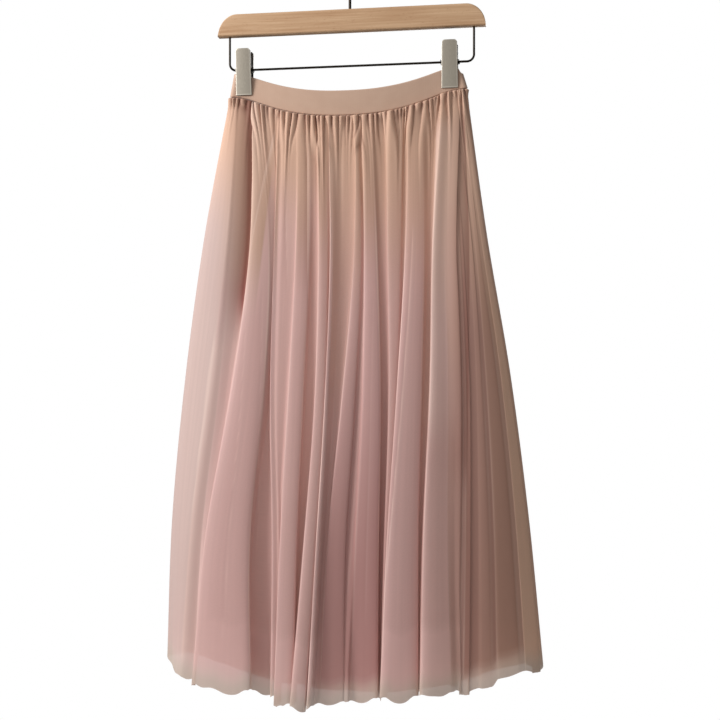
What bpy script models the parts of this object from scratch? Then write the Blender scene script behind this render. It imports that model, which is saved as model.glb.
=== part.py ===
"""Gathered tulle midi skirt hung by its waistband from a wooden clip hanger.

Frame: the origin is the inside top of the hook, where a rail carries the hanger. X runs along the bar,
the skirt's front faces -Y and Z is up. Sizes are in metres, and the cloth tables are in millimetres.
"""
import math

import bpy
import numpy as np

MM = 0.001
GAP = 0.0003                   # between pieces that meet

# Hanger
HOOK_WIRE = 0.0038
HOOK_RADIUS = 0.021            # centreline of the crook
HOOK_BEND = 0.012              # centreline of the bend at the top of the stem
HOOK_TIP_DEG = 206.0           # where the crook ends, counted from +X
BAR_LENGTH = 0.360
BAR_HEIGHT = 0.030
BAR_DEPTH = 0.012
BAR_TOP = -0.062
BAR_SHOULDER = 0.026           # length of each rounded upper end
BAR_EDGE = 0.0016
BAR_UNDER = BAR_TOP - BAR_HEIGHT
HOLE_DEPTH = 0.012
RAIL_WIRE = 0.003
RAIL_SPAN = 0.329              # between the centres of its two legs
RAIL_DROP = 0.045              # from the bar's underside to the rail's centre
RAIL_CORNER = 0.009
RAIL_Z = BAR_UNDER - RAIL_DROP

# Clips
CLIPS = {"left": -0.144, "right": 0.133}
PLATE_WIDTH = 0.020
PLATE_LENGTH = 0.061
PLATE_THICK = 0.0013
PLATE_TIP_Z = BAR_UNDER - 0.0795
PLATE_TIP_Y = 0.0030           # inner face of a plate at its tip
PLATE_TOP_Y = 0.0108           # inner face of a plate at its top
PLATE_CHAMFER = 0.003
FLANGE_HEIGHT = 0.026
FLANGE_DEPTH = 0.0028
SPRING_OUTER = 0.0036
SPRING_INNER = 0.0019
SPRING_LENGTH = 0.0225

# Waistband: its droop between the clips, measured down from the bar's underside
BAND_WALL = 0.0024
BAND_TOP_MID = 0.079
BAND_TOP_END = 0.049
SEAM_MID = 0.112
SEAM_END = 0.080
DROOP_CENTRE = -0.0055
DROOP_HALF = 0.139
DROOP_POWER = 2.3
DROOP_EASE = 6.0
END_SLUMP = 0.011              # the right end's upper corner sags by this much
END_SLUMP_FROM = 0.143

# Half of the waistband's loop, left end to right end: (x, how far it stands off the middle plane), in mm
BAND_PATH = (
    (-163.0, 0.0),
    (-160.5, 2.0),
    (-154.0, 1.5),
    (-144.0, 1.5),
    (-134.0, 1.5),
    (-95.0, 4.8),
    (-50.0, 7.6),
    (-5.0, 8.4),
    (40.0, 7.6),
    (85.0, 4.8),
    (123.0, 1.5),
    (133.0, 1.5),
    (143.0, 1.5),
    (152.5, 2.0),
    (155.0, 0.0),
)

# Cloth
NET_WALL = 0.0011
LINING_WALL = 0.0012
SEAM_GAP = 0.0006              # below the waistband's edge
NET_LENGTH = 0.768             # from the seam to the hem
LINING_LENGTH = 0.752
LEVELS = {"waist": 0.0, "hip": 0.26, "thigh": 0.49, "calf": 0.75, "hem": 1.0}      # shares of the way down

# Outline of the net and of the lining seen from the front: each side at the five levels, in mm, and the
# extra length of the hem there
NET_OUTLINE = {
    "left": (-164, -197, -225, -245, -252),
    "right": (155, 182, 211, 236, 254),
    "hem_drop": (-8, -16),
}
LINING_OUTLINE = {
    "left": (-161, -193, -219, -236, -241),
    "right": (152, 177, 203, 227, 236),
    "hem_drop": (-6, -6),
}

# One row per fold, from the skirt's left to its right as seen from the front. First the left edge of the
# fold's crest at the five levels, then the crest's width at waist and hem and how far past the crest the
# hollow starts at waist and hem (below zero: tucked under the fold), all in mm. Then how far the crest, at
# waist and hem, and the hollow reach forward, as shares of the fold depth, and the hem's extra length in mm.
FOLD_COLUMNS = ("name", "waist", "hip", "thigh", "calf", "hem", "width_waist", "width_hem",
                "past_waist", "past_hem", "crest_waist", "crest_hem", "hollow", "hem_drop")
FRONT_FOLDS = (
    ("left_roll", -155, -167, -176, -204, -216, 6, 10, 8, 24, 0.75, 0.75, 0.10, 8),
    ("big_left", -125, -123, -150, -184, -197, 7, 78, 9, -6, 0.90, 1.00, 0.00, 8),
    ("slip", -94, -90, -91, -94, -98, 3, 6, 8, 0, 0.80, 0.50, 0.30, 0),
    ("twin", -67, -68, -75, -83, -87, 5, 17, 6, -4, 0.90, 0.85, 0.10, 5),
    ("long_ridge", -40, -37, -39, -51, -64, 4, 18, 5, -5, 0.80, 1.00, 0.15, 2),
    ("sharp_edge", -26, -22, -26, -35, -43, 3, 5, 12, 1, 0.90, 0.95, 0.00, 0),
    ("sweep", 10, 9, -4, -22, -30, 2, 31, 3, 0, 0.90, 0.72, 0.40, -9),
    ("centre_panel", 20, 23, 23, 15, 9, 10, 36, 8, -5, 1.00, 1.00, 0.05, -5),
    ("narrowing", 50, 54, 57, 52, 48, 13, 1, 5, 1, 0.90, 0.10, 0.10, -8),
    ("right_panel", 75, 76, 68, 57, 51, 9, 47, 8, -4, 1.00, 0.95, 0.05, -3),
    ("front_ridge", 116, 112, 111, 104, 102, 4, 16, 3, 12, 1.00, 1.00, 0.80, 12),
    ("ridge_slope", 127, 144, 152, 152, 149, 2.4, 5, 1, -3, 0.90, 0.72, 0.10, 6),
    ("right_edge", 133, 153, 161, 162, 160, 2.4, 13, 1, 4, 0.90, 0.75, 0.25, 2),
    ("last_edge", 139.5, 163, 177, 187, 191, 2.4, 6, 1, -4, 0.90, 0.75, 0.10, 2),
    ("right_lobe", 146, 171, 195, 214, 226, 2.4, 6, 1, 0, 0.90, 0.60, 0.35, -17),
)
BACK_FOLDS = (
    ("left_wrap", -154, -176, -192, -212, -222, 3, 12, 6, 12, 0.80, 0.70, 0.25, -8),
    ("outer_left", -134, -140, -158, -176, -186, 6, 30, 6, -4, 0.90, 0.95, 0.05, 2),
    ("narrow_left", -108, -108, -118, -124, -130, 3, 10, 7, 0, 0.80, 0.65, 0.20, 0),
    ("wide_left", -82, -80, -90, -94, -96, 8, 44, 6, -5, 1.00, 1.00, 0.05, 4),
    ("mid_left", -48, -40, -40, -38, -34, 4, 12, 8, -3, 0.85, 0.85, 0.10, 0),
    ("middle", -16, -10, -10, -4, 0, 8, 38, 6, -4, 0.95, 0.95, 0.10, 2),
    ("mid_right", 20, 26, 34, 48, 56, 3, 8, 8, 2, 0.80, 0.70, 0.15, 0),
    ("wide_right", 48, 58, 68, 78, 86, 8, 40, 7, -5, 1.00, 1.00, 0.05, 5),
    ("narrow_right", 84, 96, 112, 132, 142, 3, 10, 7, 0, 0.80, 0.70, 0.20, 0),
    ("outer_right", 110, 128, 146, 164, 174, 6, 26, 6, -3, 0.90, 0.95, 0.10, 2),
    ("right_wrap", 138, 162, 186, 208, 220, 3, 10, 5, 2, 0.75, 0.65, 0.30, -10),
)
LINING_FOLDS = (
    ("wave_1", -140, -160, -178, -192, -198, 12, 26, 6, 8, 1.0, 1.0, 0.0, -8),
    ("wave_2", -84, -88, -96, -104, -108, 16, 32, 6, 10, 1.0, 1.0, 0.0, 2),
    ("wave_3", -30, -30, -34, -36, -38, 14, 30, 8, 10, 1.0, 1.0, 0.0, 0),
    ("wave_4", 26, 30, 34, 40, 44, 14, 30, 8, 10, 1.0, 1.0, 0.0, 4),
    ("wave_5", 80, 92, 104, 118, 126, 16, 30, 6, 8, 1.0, 1.0, 0.0, -2),
    ("wave_6", 126, 146, 166, 184, 190, 8, 18, 5, 6, 1.0, 1.0, 0.0, -6),
)

# Depth of the hollows and of the folds in front of them: (at the waist, at the hem, power of the growth)
NET_DEPTH = {"hollow": (0.0038, 0.0440, 0.80), "fold": (0.0026, 0.0370, 0.75)}
LINING_DEPTH = {"hollow": (0.0019, 0.0330, 0.80), "fold": (0.0003, 0.0050, 1.00)}
END_ROLL_WAIST = 0.0022        # how far from each side the tube has come round to its depth
END_ROLL_HEM = 0.014
HOLLOW_WAIST = 0.0015          # width of a hollow's bottom
HOLLOW_HEM = 0.006
WAIST_BULGE = 0.0070           # the middle of the waist stands off this much more, and the hips don't
BULGE_FADE = 0.30
ROUND_WAIST = 11.0             # power of the oval seen from above: almost flat at the waist
ROUND_HEM = 3.0

NET_COLUMNS = {"front": 108, "back": 72}
NET_ROWS = 11
LINING_COLUMNS = {"front": 34, "back": 34}
LINING_ROWS = 5
BAND_COLUMNS_PER_SIDE = 36
SPLINE_STEPS = 10
BEND_WEIGHT = 0.006            # a turn of one radian takes as many columns as this length

COLOURS = {
    "wood": ((0.52, 0.34, 0.18, 1.0), 0.45, 0.0),
    "dark_wire": ((0.05, 0.045, 0.04, 1.0), 0.35, 1.0),
    "brushed_steel": ((0.50, 0.48, 0.44, 1.0), 0.38, 1.0),
    "band": ((0.50, 0.34, 0.26, 1.0), 0.75, 0.0),
    "net": ((0.52, 0.32, 0.29, 1.0), 0.80, 0.0),
    "lining": ((0.56, 0.38, 0.30, 1.0), 0.55, 0.0),
}


def material(name):
    """The named Principled material, made once."""
    found = bpy.data.materials.get(name)
    if found:
        return found
    colour, roughness, metallic = COLOURS[name]
    made = bpy.data.materials.new(name)
    made.use_nodes = True
    shader = made.node_tree.nodes["Principled BSDF"]
    shader.inputs["Base Color"].default_value = colour
    shader.inputs["Roughness"].default_value = roughness
    shader.inputs["Metallic"].default_value = metallic
    return made


def add_mesh(name, vertices, faces, finish, smooth=False):
    """An object with its own mesh and material."""
    mesh = bpy.data.meshes.new(name)
    mesh.from_pydata([tuple(v) for v in vertices], [], faces)
    mesh.update()
    if smooth:
        mesh.shade_smooth()
    mesh.materials.append(material(finish))
    thing = bpy.data.objects.new(name, mesh)
    bpy.context.collection.objects.link(thing)
    return thing


def extrude_outline(name, outline, low, high, axis, finish):
    """A prism: the outline's two coordinates fill the other axes in order, anticlockwise seen from +axis."""
    count = len(outline)
    vertices = []
    for level in (low, high):
        for a, b in outline:
            point = [a, b]
            point.insert(axis, level)
            vertices.append(point)
    faces = [tuple(range(count - 1, -1, -1)), tuple(range(count, 2 * count))]
    for i in range(count):
        j = (i + 1) % count
        faces.append((i, j, count + j, count + i))
    return add_mesh(name, vertices, faces, finish)


def wire(name, points, diameter, finish):
    """A round wire with flat ends along the points."""
    curve = bpy.data.curves.new(name, "CURVE")
    curve.dimensions = "3D"
    curve.bevel_depth = diameter / 2
    curve.bevel_resolution = 3
    curve.use_fill_caps = True
    spline = curve.splines.new("POLY")
    spline.points.add(len(points) - 1)
    for point, place in zip(spline.points, points):
        point.co = (*place, 1.0)
    curve.materials.append(material(finish))
    thing = bpy.data.objects.new(name, curve)
    bpy.context.collection.objects.link(thing)
    return thing


def arc(centre, radius, start_deg, end_deg, steps):
    """Points (x, z) on an arc, both ends included."""
    turn = [math.radians(start_deg + (end_deg - start_deg) * i / steps) for i in range(steps + 1)]
    return [(centre[0] + radius * math.cos(a), centre[1] + radius * math.sin(a)) for a in turn]


def cut(target, cutter):
    """Cut the cutter's shape out of the target."""
    cutter.hide_render = True
    cutter.display_type = "WIRE"
    modifier = target.modifiers.new("cut_" + cutter.name, "BOOLEAN")
    modifier.operation = "DIFFERENCE"
    modifier.solver = "EXACT"
    modifier.object = cutter


def bevel(target, width, segments):
    """Round the target's sharp edges."""
    modifier = target.modifiers.new("edge_round", "BEVEL")
    modifier.width = width
    modifier.segments = segments
    modifier.limit_method = "ANGLE"
    modifier.angle_limit = math.radians(40)


def hole_cutter(name, x, z_low, z_high, radius):
    """A round cutter standing upright in the bar."""
    outline = [(x + px, py) for px, py in arc((0.0, 0.0), radius, 0.0, 337.5, 15)]
    return extrude_outline(name, outline, z_low, z_high, 2, "dark_wire")


def build_bar():
    """Wooden bar with quarter-round upper ends, bored for the hook and for the rail's legs."""
    half = BAR_LENGTH / 2
    crown = half - BAR_SHOULDER
    steps = 8
    outline = [(-half, BAR_UNDER), (half, BAR_UNDER)]
    for i in range(1, steps + 1):
        turn = math.radians(90 * i / steps)
        outline.append((crown + BAR_SHOULDER * math.cos(turn), BAR_UNDER + BAR_HEIGHT * math.sin(turn)))
    for i in range(steps, 0, -1):
        turn = math.radians(90 * i / steps)
        outline.append((-crown - BAR_SHOULDER * math.cos(turn), BAR_UNDER + BAR_HEIGHT * math.sin(turn)))
    # seen from +Y the X axis points left, so the outline runs the other way round
    outline.reverse()
    bar = extrude_outline("hanger_bar", outline, -BAR_DEPTH / 2, BAR_DEPTH / 2, 1, "wood")
    bevel(bar, BAR_EDGE, 2)
    past = 0.002
    stem = hole_cutter("stem_hole", 0.0, BAR_TOP - HOLE_DEPTH - GAP, BAR_TOP + past, HOOK_WIRE / 2 + GAP)
    cut(bar, stem)
    for side in (-1, 1):
        leg = hole_cutter("leg_hole", side * RAIL_SPAN / 2, BAR_UNDER - past,
                          BAR_UNDER + HOLE_DEPTH + GAP, RAIL_WIRE / 2 + GAP)
        cut(bar, leg)


def build_hook():
    """Wire hook: a stem, a short bend to the right and a crook back over the middle."""
    crook = (0.0, -(HOOK_RADIUS - HOOK_WIRE / 2))
    drop = math.sqrt(HOOK_RADIUS ** 2 + 2 * HOOK_RADIUS * HOOK_BEND)
    bend = (HOOK_BEND, crook[1] - drop)
    meet = math.degrees(math.atan2(drop, -HOOK_BEND))
    route = [(0.0, BAR_TOP - HOLE_DEPTH)]
    route += arc(bend, HOOK_BEND, 180.0, meet, 6)
    route += arc(crook, HOOK_RADIUS, meet - 180.0, HOOK_TIP_DEG, 28)[1:]
    wire("hanger_hook", [(x, 0.0, z) for x, z in route], HOOK_WIRE, "dark_wire")


def build_rail():
    """Wire rail hung from the bar by its two upturned ends."""
    half = RAIL_SPAN / 2
    low = RAIL_Z + RAIL_CORNER
    inner = half - RAIL_CORNER
    route = [(-half, BAR_UNDER + HOLE_DEPTH)]
    route += arc((-inner, low), RAIL_CORNER, 180.0, 270.0, 8)
    route += arc((inner, low), RAIL_CORNER, 270.0, 360.0, 8)
    route += [(half, BAR_UNDER + HOLE_DEPTH)]
    wire("clip_rail", [(x, 0.0, z) for x, z in route], RAIL_WIRE, "dark_wire")


def plate_inner(z):
    """How far a plate's inner face stands off the middle plane at height z."""
    return PLATE_TIP_Y + (z - PLATE_TIP_Z) / PLATE_LENGTH * (PLATE_TOP_Y - PLATE_TIP_Y)


def build_plate(name, x, side):
    """One plate of a clip: flat below, with short flanges turned inwards above."""
    half = PLATE_WIDTH / 2
    top = PLATE_TIP_Z + PLATE_LENGTH
    flange_low = top - FLANGE_HEIGHT
    wall = PLATE_THICK

    def section(z, width, turned):
        inner = plate_inner(z)
        outer = inner + wall
        lip = inner - turned
        points = [(-width, outer), (width, outer), (width, lip), (width - wall, lip),
                  (width - wall, inner), (wall - width, inner), (wall - width, lip), (-width, lip)]
        return [(x + px, side * py, z) for px, py in points]

    flat = 0.0001
    levels = [
        (PLATE_TIP_Z, half, flat),
        (flange_low - 0.002, half, flat),
        (flange_low, half, FLANGE_DEPTH),
        (top - PLATE_CHAMFER, half, FLANGE_DEPTH),
        (top, half - PLATE_CHAMFER, FLANGE_DEPTH),
    ]
    vertices = []
    for z, width, turned in levels:
        vertices += section(z, width, turned)
    corners = 8
    faces = []
    for row in range(len(levels) - 1):
        for i in range(corners):
            j = (i + 1) % corners
            a, b = row * corners + i, row * corners + j
            faces.append((a, b, b + corners, a + corners))
    last = (len(levels) - 1) * corners
    faces.append(tuple(range(corners - 1, -1, -1)))
    faces.append(tuple(range(last, last + corners)))
    if side > 0:
        faces = [tuple(reversed(face)) for face in faces]
    add_mesh(name, vertices, faces, "brushed_steel")


def build_spring(name, x):
    """The clip's coil spring, as the tube that its turns fill round the rail."""
    steps = 20
    vertices = []
    for at in (x - SPRING_LENGTH / 2, x + SPRING_LENGTH / 2):
        for radius in (SPRING_OUTER, SPRING_INNER):
            for i in range(steps):
                turn = 2 * math.pi * i / steps
                vertices.append((at, radius * math.cos(turn), RAIL_Z + radius * math.sin(turn)))
    faces = []
    for i in range(steps):
        j = (i + 1) % steps
        faces.append((i, 2 * steps + i, 2 * steps + j, j))
        faces.append((steps + j, 3 * steps + j, 3 * steps + i, steps + i))
        faces.append((j, steps + j, steps + i, i))
        faces.append((2 * steps + i, 3 * steps + i, 3 * steps + j, 2 * steps + j))
    faces = [tuple(reversed(face)) for face in faces]
    add_mesh(name, vertices, faces, "dark_wire", smooth=True)


def build_clips():
    """Both clips, each a front plate, a back plate and a spring."""
    for label, x in CLIPS.items():
        build_plate("clip_" + label + "_front", x, -1)
        build_plate("clip_" + label + "_back", x, 1)
        build_spring("clip_" + label + "_spring", x)


def droop(x, middle, end):
    """Height of a waist line at x: lowest midway between the clips, easing to level outside them."""
    rise = np.abs((x - DROOP_CENTRE) / DROOP_HALF) ** DROOP_POWER
    rise = rise / (1 + rise ** DROOP_EASE) ** (1 / DROOP_EASE)
    return BAR_UNDER - middle + (middle - end) * rise


def seam_height(x):
    """Height of the waistband's lower edge, where the cloth is sewn on."""
    return droop(x, SEAM_MID, SEAM_END)


def band_top_height(x):
    """Height of the waistband's upper edge, with the sag of its right end."""
    past = np.clip((x - END_SLUMP_FROM) / 0.010, 0.0, 1.0)
    return droop(x, BAND_TOP_MID, BAND_TOP_END) - END_SLUMP * past ** 2


def hermite(points, gaps, share, segment, closed):
    """Cubic curve through the points with finite-difference tangents: points are (row, point, axis),
    gaps are the parameter lengths of the stretches, and each sample is a share of its segment."""
    after = np.roll(points, -1, axis=1)
    step = (after - points) / gaps[..., None]
    before = np.roll(step, 1, axis=1)
    before_gap = np.roll(gaps, 1, axis=1)
    weight = (before_gap / (before_gap + gaps))[..., None]
    tangent = step * weight + before * (1 - weight)
    if not closed:
        tangent[:, 0] = step[:, 0]
        tangent[:, -1] = before[:, -1]
    nxt = (segment + 1) % points.shape[1]
    u = share[None, :, None]
    h = gaps[:, segment][..., None]
    return ((2 * u ** 3 - 3 * u ** 2 + 1) * points[:, segment] + (u ** 3 - 2 * u ** 2 + u) * h * tangent[:, segment]
            + (3 * u ** 2 - 2 * u ** 3) * points[:, nxt] + (u ** 3 - u ** 2) * h * tangent[:, nxt])


def down_the_skirt(values, down):
    """Read a line given at the five levels at every share of the way down, on a smooth curve."""
    levels = np.array(list(LEVELS.values()))
    points = np.array(values, float)[None, :, None]
    gaps = np.append(np.diff(levels), 1.0)[None, :]
    segment = np.clip(np.searchsorted(levels, down, side="right") - 1, 0, len(levels) - 2)
    share = (down - levels[segment]) / gaps[0, segment]
    return hermite(points, gaps, share, segment, closed=False)[0, :, 0]


def between(waist, hem, down, power=1.0):
    """A value that goes from the waist's to the hem's, by a power of the share of the way down."""
    return waist + (hem - waist) * down ** power


def fold_knots(folds, outline, depth, down, side):
    """The section's guide points for one side of the tube: (row, point, x-y) with their hem drops.
    Each fold gives its crest's left and right edge and the hollow after it. side is -1 at the front."""
    left = down_the_skirt(outline["left"], down) * MM
    right = down_the_skirt(outline["right"], down) * MM
    middle, half = (left + right) / 2, (right - left) / 2
    hollow_depth = between(*depth["hollow"][:2], down, depth["hollow"][2])
    fold_depth = between(*depth["fold"][:2], down, depth["fold"][2])
    rounding = between(ROUND_HEM, ROUND_WAIST, 1 - down, 3)
    end_roll = between(END_ROLL_WAIST, END_ROLL_HEM, down, 2)
    hollow_width = between(HOLLOW_WAIST, HOLLOW_HEM, down)
    left_drop, right_drop = outline["hem_drop"]
    columns = [(left, 0.0, left_drop), (left + end_roll, 0.0, left_drop)]
    rows = [dict(zip(FOLD_COLUMNS, row)) for row in folds]
    for i, fold in enumerate(rows):
        edge = down_the_skirt([fold[level] for level in LEVELS], down) * MM
        crest_end = edge + between(fold["width_waist"], fold["width_hem"], down) * MM
        hollow_start = crest_end + between(fold["past_waist"], fold["past_hem"], down) * MM
        crest = between(fold["crest_waist"], fold["crest_hem"], down)
        hollow, drop = fold["hollow"], fold["hem_drop"]
        next_drop = rows[i + 1]["hem_drop"] if i + 1 < len(rows) else right_drop
        columns += [(edge, crest, drop), (crest_end, crest, drop)]
        columns += [(hollow_start, hollow, drop), (hollow_start + hollow_width, hollow, next_drop)]
    columns.append((right - end_roll, 0.0, right_drop))
    knots = []
    drops = []
    for i, (x, reach, drop) in enumerate(columns):
        across = np.clip(np.abs((x - middle) / half), 0.0, 1.0)
        oval = (1 - across ** rounding) ** (1 / rounding)
        bulge = WAIST_BULGE * np.clip(1 - down / BULGE_FADE, 0, 1) ** 2 * np.clip(1 - across ** 2 * 1.3, 0, 1)
        y = oval * (hollow_depth + bulge + reach * fold_depth)
        knots.append(np.stack([x, side * y * min(i, 1)], axis=1))
        drops.append(drop * MM)
    return np.stack(knots, axis=1), drops, right


def tube_sections(front, back, outline, depth, length, rows):
    """Closed sections of the skirt from the seam to the hem, and where its side seams lie in them.
    Returns the points (row, column, x-y-z) on a dense closed curve and the front's share of it."""
    down = np.linspace(0.0, 1.0, rows)
    ahead, ahead_drop, right = fold_knots(front, outline, depth, down, -1)
    behind, behind_drop, _ = fold_knots(back, outline, depth, down, 1)
    seam_right = np.stack([right, np.zeros_like(right)], axis=1)[:, None]
    behind_reversed = behind[:, :0:-1]
    knots = np.concatenate([ahead, seam_right, behind_reversed], axis=1)
    drops = np.array(ahead_drop + [outline["hem_drop"][1] * MM] + behind_drop[:0:-1])
    gaps = np.linalg.norm(np.roll(knots, -1, axis=1) - knots, axis=2) ** 0.5
    count = knots.shape[1]
    segment = np.repeat(np.arange(count), SPLINE_STEPS)
    share = np.tile(np.arange(SPLINE_STEPS) / SPLINE_STEPS, count)
    flat = hermite(knots, gaps, share, segment, closed=True)
    drop = drops[segment] * (1 - share) + drops[(segment + 1) % count] * share
    top = seam_height(flat[0, :, 0]) - SEAM_GAP
    fall = down[:, None] * (length + drop[None, :])
    height = top[None, :] - fall
    dense = np.concatenate([flat, height[..., None]], axis=2)
    return dense, ahead.shape[1] * SPLINE_STEPS


def even_columns(dense, start, end, columns):
    """Pick columns between two places on the dense curve, spaced by its mean length and bends."""
    wrapped = np.concatenate([dense, dense[:, :1]], axis=1)[:, start:end + 1]
    step = np.diff(wrapped[..., :2], axis=1)
    length = np.linalg.norm(step, axis=2)
    run = step / length[..., None]
    turn = np.arccos((run[:, 1:] * run[:, :-1]).sum(axis=2).clip(-1.0, 1.0))
    spacing = length.mean(axis=0)
    spacing[1:] += BEND_WEIGHT * turn.mean(axis=0)
    along = np.concatenate([[0.0], np.cumsum(spacing)])
    wanted = np.linspace(0.0, along[-1], columns)
    place = np.interp(wanted, along, np.arange(len(along)))
    low = np.minimum(place.astype(int), len(along) - 2)
    part = (place - low)[None, :, None]
    return wrapped[:, low] * (1 - part) + wrapped[:, low + 1] * part


def wall(name, outer, thickness, finish):
    """A wall whose outer face is the grid (row, column, x-y-z) and whose inner face lies inside it.
    At corners the inner face is moved further, so that the wall keeps its thickness."""
    run = np.gradient(outer[..., :2], axis=1)
    run /= np.linalg.norm(run, axis=2, keepdims=True)
    run[:, 0] = (0, -1)
    run[:, -1] = (0, 1)
    if outer[0, 0, 0] > 0:
        run[:, 0] = (0, 1)
        run[:, -1] = (0, -1)
    inward = np.stack([-run[..., 1], run[..., 0]], axis=2)
    piece = np.diff(outer[..., :2], axis=1)
    piece /= np.linalg.norm(piece, axis=2, keepdims=True)
    bend = np.ones(outer.shape[:2])
    bend[:, 1:-1] = np.sqrt((1 + (piece[:, 1:] * piece[:, :-1]).sum(axis=2)).clip(0.0, 2.0) / 2)
    reach = thickness * np.minimum(1.35, 1 / bend.clip(0.5, 1.0))
    inner = outer.copy()
    inner[..., :2] += inward * reach[..., None]
    rows, columns = outer.shape[:2]
    vertices = np.concatenate([outer.reshape(-1, 3), inner.reshape(-1, 3)])
    size = rows * columns

    def at(row, column, layer):
        return layer * size + row * columns + column

    faces = []
    for r in range(rows - 1):
        for c in range(columns - 1):
            faces.append((at(r, c, 0), at(r + 1, c, 0), at(r + 1, c + 1, 0), at(r, c + 1, 0)))
            faces.append((at(r, c + 1, 1), at(r + 1, c + 1, 1), at(r + 1, c, 1), at(r, c, 1)))
    for c in range(columns - 1):
        faces.append((at(0, c + 1, 0), at(0, c + 1, 1), at(0, c, 1), at(0, c, 0)))
        faces.append((at(rows - 1, c, 0), at(rows - 1, c, 1), at(rows - 1, c + 1, 1), at(rows - 1, c + 1, 0)))
    for r in range(rows - 1):
        faces.append((at(r, 0, 0), at(r, 0, 1), at(r + 1, 0, 1), at(r + 1, 0, 0)))
        faces.append((at(r + 1, columns - 1, 0), at(r + 1, columns - 1, 1), at(r, columns - 1, 1),
                      at(r, columns - 1, 0)))
    add_mesh(name, vertices, faces, finish, smooth=True)


def build_tube(label, front, back, outline, depth, length, thickness, columns, rows, finish):
    """A front and a back panel that meet at the side seams with a small gap."""
    dense, turn = tube_sections(front, back, outline, depth, length, rows)
    ahead = even_columns(dense, 0, turn, columns["front"])
    behind = even_columns(dense, turn, dense.shape[1], columns["back"])
    for column in (0, -1):
        ahead[:, column, 1] -= GAP / 2
        behind[:, column, 1] += GAP / 2
    wall(label + "_front", ahead, thickness, finish)
    wall(label + "_back", behind, thickness, finish)


def build_band():
    """The elastic waistband: a closed loop, clamped flat in the clips and open between them."""
    path = np.array(BAND_PATH) * MM
    front = path * (1, -1)
    back = path[-2:0:-1]
    knots = np.concatenate([front, back])[None]
    gaps = np.linalg.norm(np.roll(knots, -1, axis=1) - knots, axis=2) ** 0.5
    count = knots.shape[1]
    segment = np.repeat(np.arange(count), SPLINE_STEPS)
    share = np.tile(np.arange(SPLINE_STEPS) / SPLINE_STEPS, count)
    dense = hermite(knots, gaps, share, segment, closed=True)
    turn = (len(front) - 1) * SPLINE_STEPS
    ahead = even_columns(dense, 0, turn, BAND_COLUMNS_PER_SIDE)[0]
    behind = even_columns(dense, turn, dense.shape[1], BAND_COLUMNS_PER_SIDE)[0]
    middle = np.concatenate([ahead[:-1], behind[:-1]])
    run = np.roll(middle, -1, axis=0) - np.roll(middle, 1, axis=0)
    run /= np.linalg.norm(run, axis=1, keepdims=True)
    inward = np.stack([-run[:, 1], run[:, 0]], axis=1) * BAND_WALL / 2
    rings = []
    for shift, height in ((-1, band_top_height), (-1, seam_height), (1, seam_height), (1, band_top_height)):
        flat = middle + inward * shift
        rings.append(np.column_stack([flat, height(middle[:, 0])]))
    count = len(middle)
    faces = []
    for k in range(4):
        for i in range(count):
            j = (i + 1) % count
            nxt = (k + 1) % 4
            faces.append((k * count + i, nxt * count + i, nxt * count + j, k * count + j))
    add_mesh("waistband", np.concatenate(rings), faces, "band", smooth=False)


def build():
    for thing in list(bpy.data.objects):
        bpy.data.objects.remove(thing, do_unlink=True)
    build_bar()
    build_hook()
    build_rail()
    build_clips()
    build_band()
    build_tube("tulle", FRONT_FOLDS, BACK_FOLDS, NET_OUTLINE, NET_DEPTH, NET_LENGTH, NET_WALL,
               NET_COLUMNS, NET_ROWS, "net")
    build_tube("lining", LINING_FOLDS, LINING_FOLDS, LINING_OUTLINE, LINING_DEPTH, LINING_LENGTH,
               LINING_WALL, LINING_COLUMNS, LINING_ROWS, "lining")


build()
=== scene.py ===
# Gathered tulle midi skirt on a wooden clip hanger: the looks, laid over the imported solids.
# Front faces -Y, X runs along the hanger's bar, Z is up, and the origin is the inside top of the hook.
import math

import bpy
import numpy as np
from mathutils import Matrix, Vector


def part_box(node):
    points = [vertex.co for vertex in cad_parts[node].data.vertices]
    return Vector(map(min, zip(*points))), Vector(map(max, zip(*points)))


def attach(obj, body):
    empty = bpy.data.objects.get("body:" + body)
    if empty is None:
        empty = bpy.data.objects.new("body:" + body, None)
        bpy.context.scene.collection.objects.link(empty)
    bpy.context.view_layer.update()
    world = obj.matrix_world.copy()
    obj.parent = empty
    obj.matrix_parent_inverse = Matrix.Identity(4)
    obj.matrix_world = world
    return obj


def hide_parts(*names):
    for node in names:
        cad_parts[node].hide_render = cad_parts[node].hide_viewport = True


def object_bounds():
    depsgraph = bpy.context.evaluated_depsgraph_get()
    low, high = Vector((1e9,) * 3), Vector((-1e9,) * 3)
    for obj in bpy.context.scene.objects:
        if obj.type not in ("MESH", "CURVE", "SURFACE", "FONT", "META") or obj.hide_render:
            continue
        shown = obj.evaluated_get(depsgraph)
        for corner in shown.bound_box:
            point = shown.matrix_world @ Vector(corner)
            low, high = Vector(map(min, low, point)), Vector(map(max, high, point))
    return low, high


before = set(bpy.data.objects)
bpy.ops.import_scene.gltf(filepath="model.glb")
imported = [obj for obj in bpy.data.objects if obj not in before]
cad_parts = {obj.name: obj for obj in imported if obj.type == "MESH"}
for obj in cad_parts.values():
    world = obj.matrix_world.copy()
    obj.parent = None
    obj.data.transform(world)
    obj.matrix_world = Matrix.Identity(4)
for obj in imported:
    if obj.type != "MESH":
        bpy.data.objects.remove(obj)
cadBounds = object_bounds()
mm = 0.001
barLow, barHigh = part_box("hanger_bar")
barUnder = barLow[2]
print("frame loaded:", len(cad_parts), "solids")


# small tools

def fromHex(text):
    # sRGB hex to linear colour
    parts = [int(text[i:i + 2], 16) / 255 for i in (1, 3, 5)]
    return tuple(c / 12.92 if c <= 0.04045 else ((c + 0.055) / 1.055) ** 2.4 for c in parts) + (1.0,)


def smoothStep(low, high, value):
    # 0 at low, 1 at high, whichever is the larger
    t = np.clip((value - low) / (high - low), 0.0, 1.0)
    return t * t * (3 - 2 * t)


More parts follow.
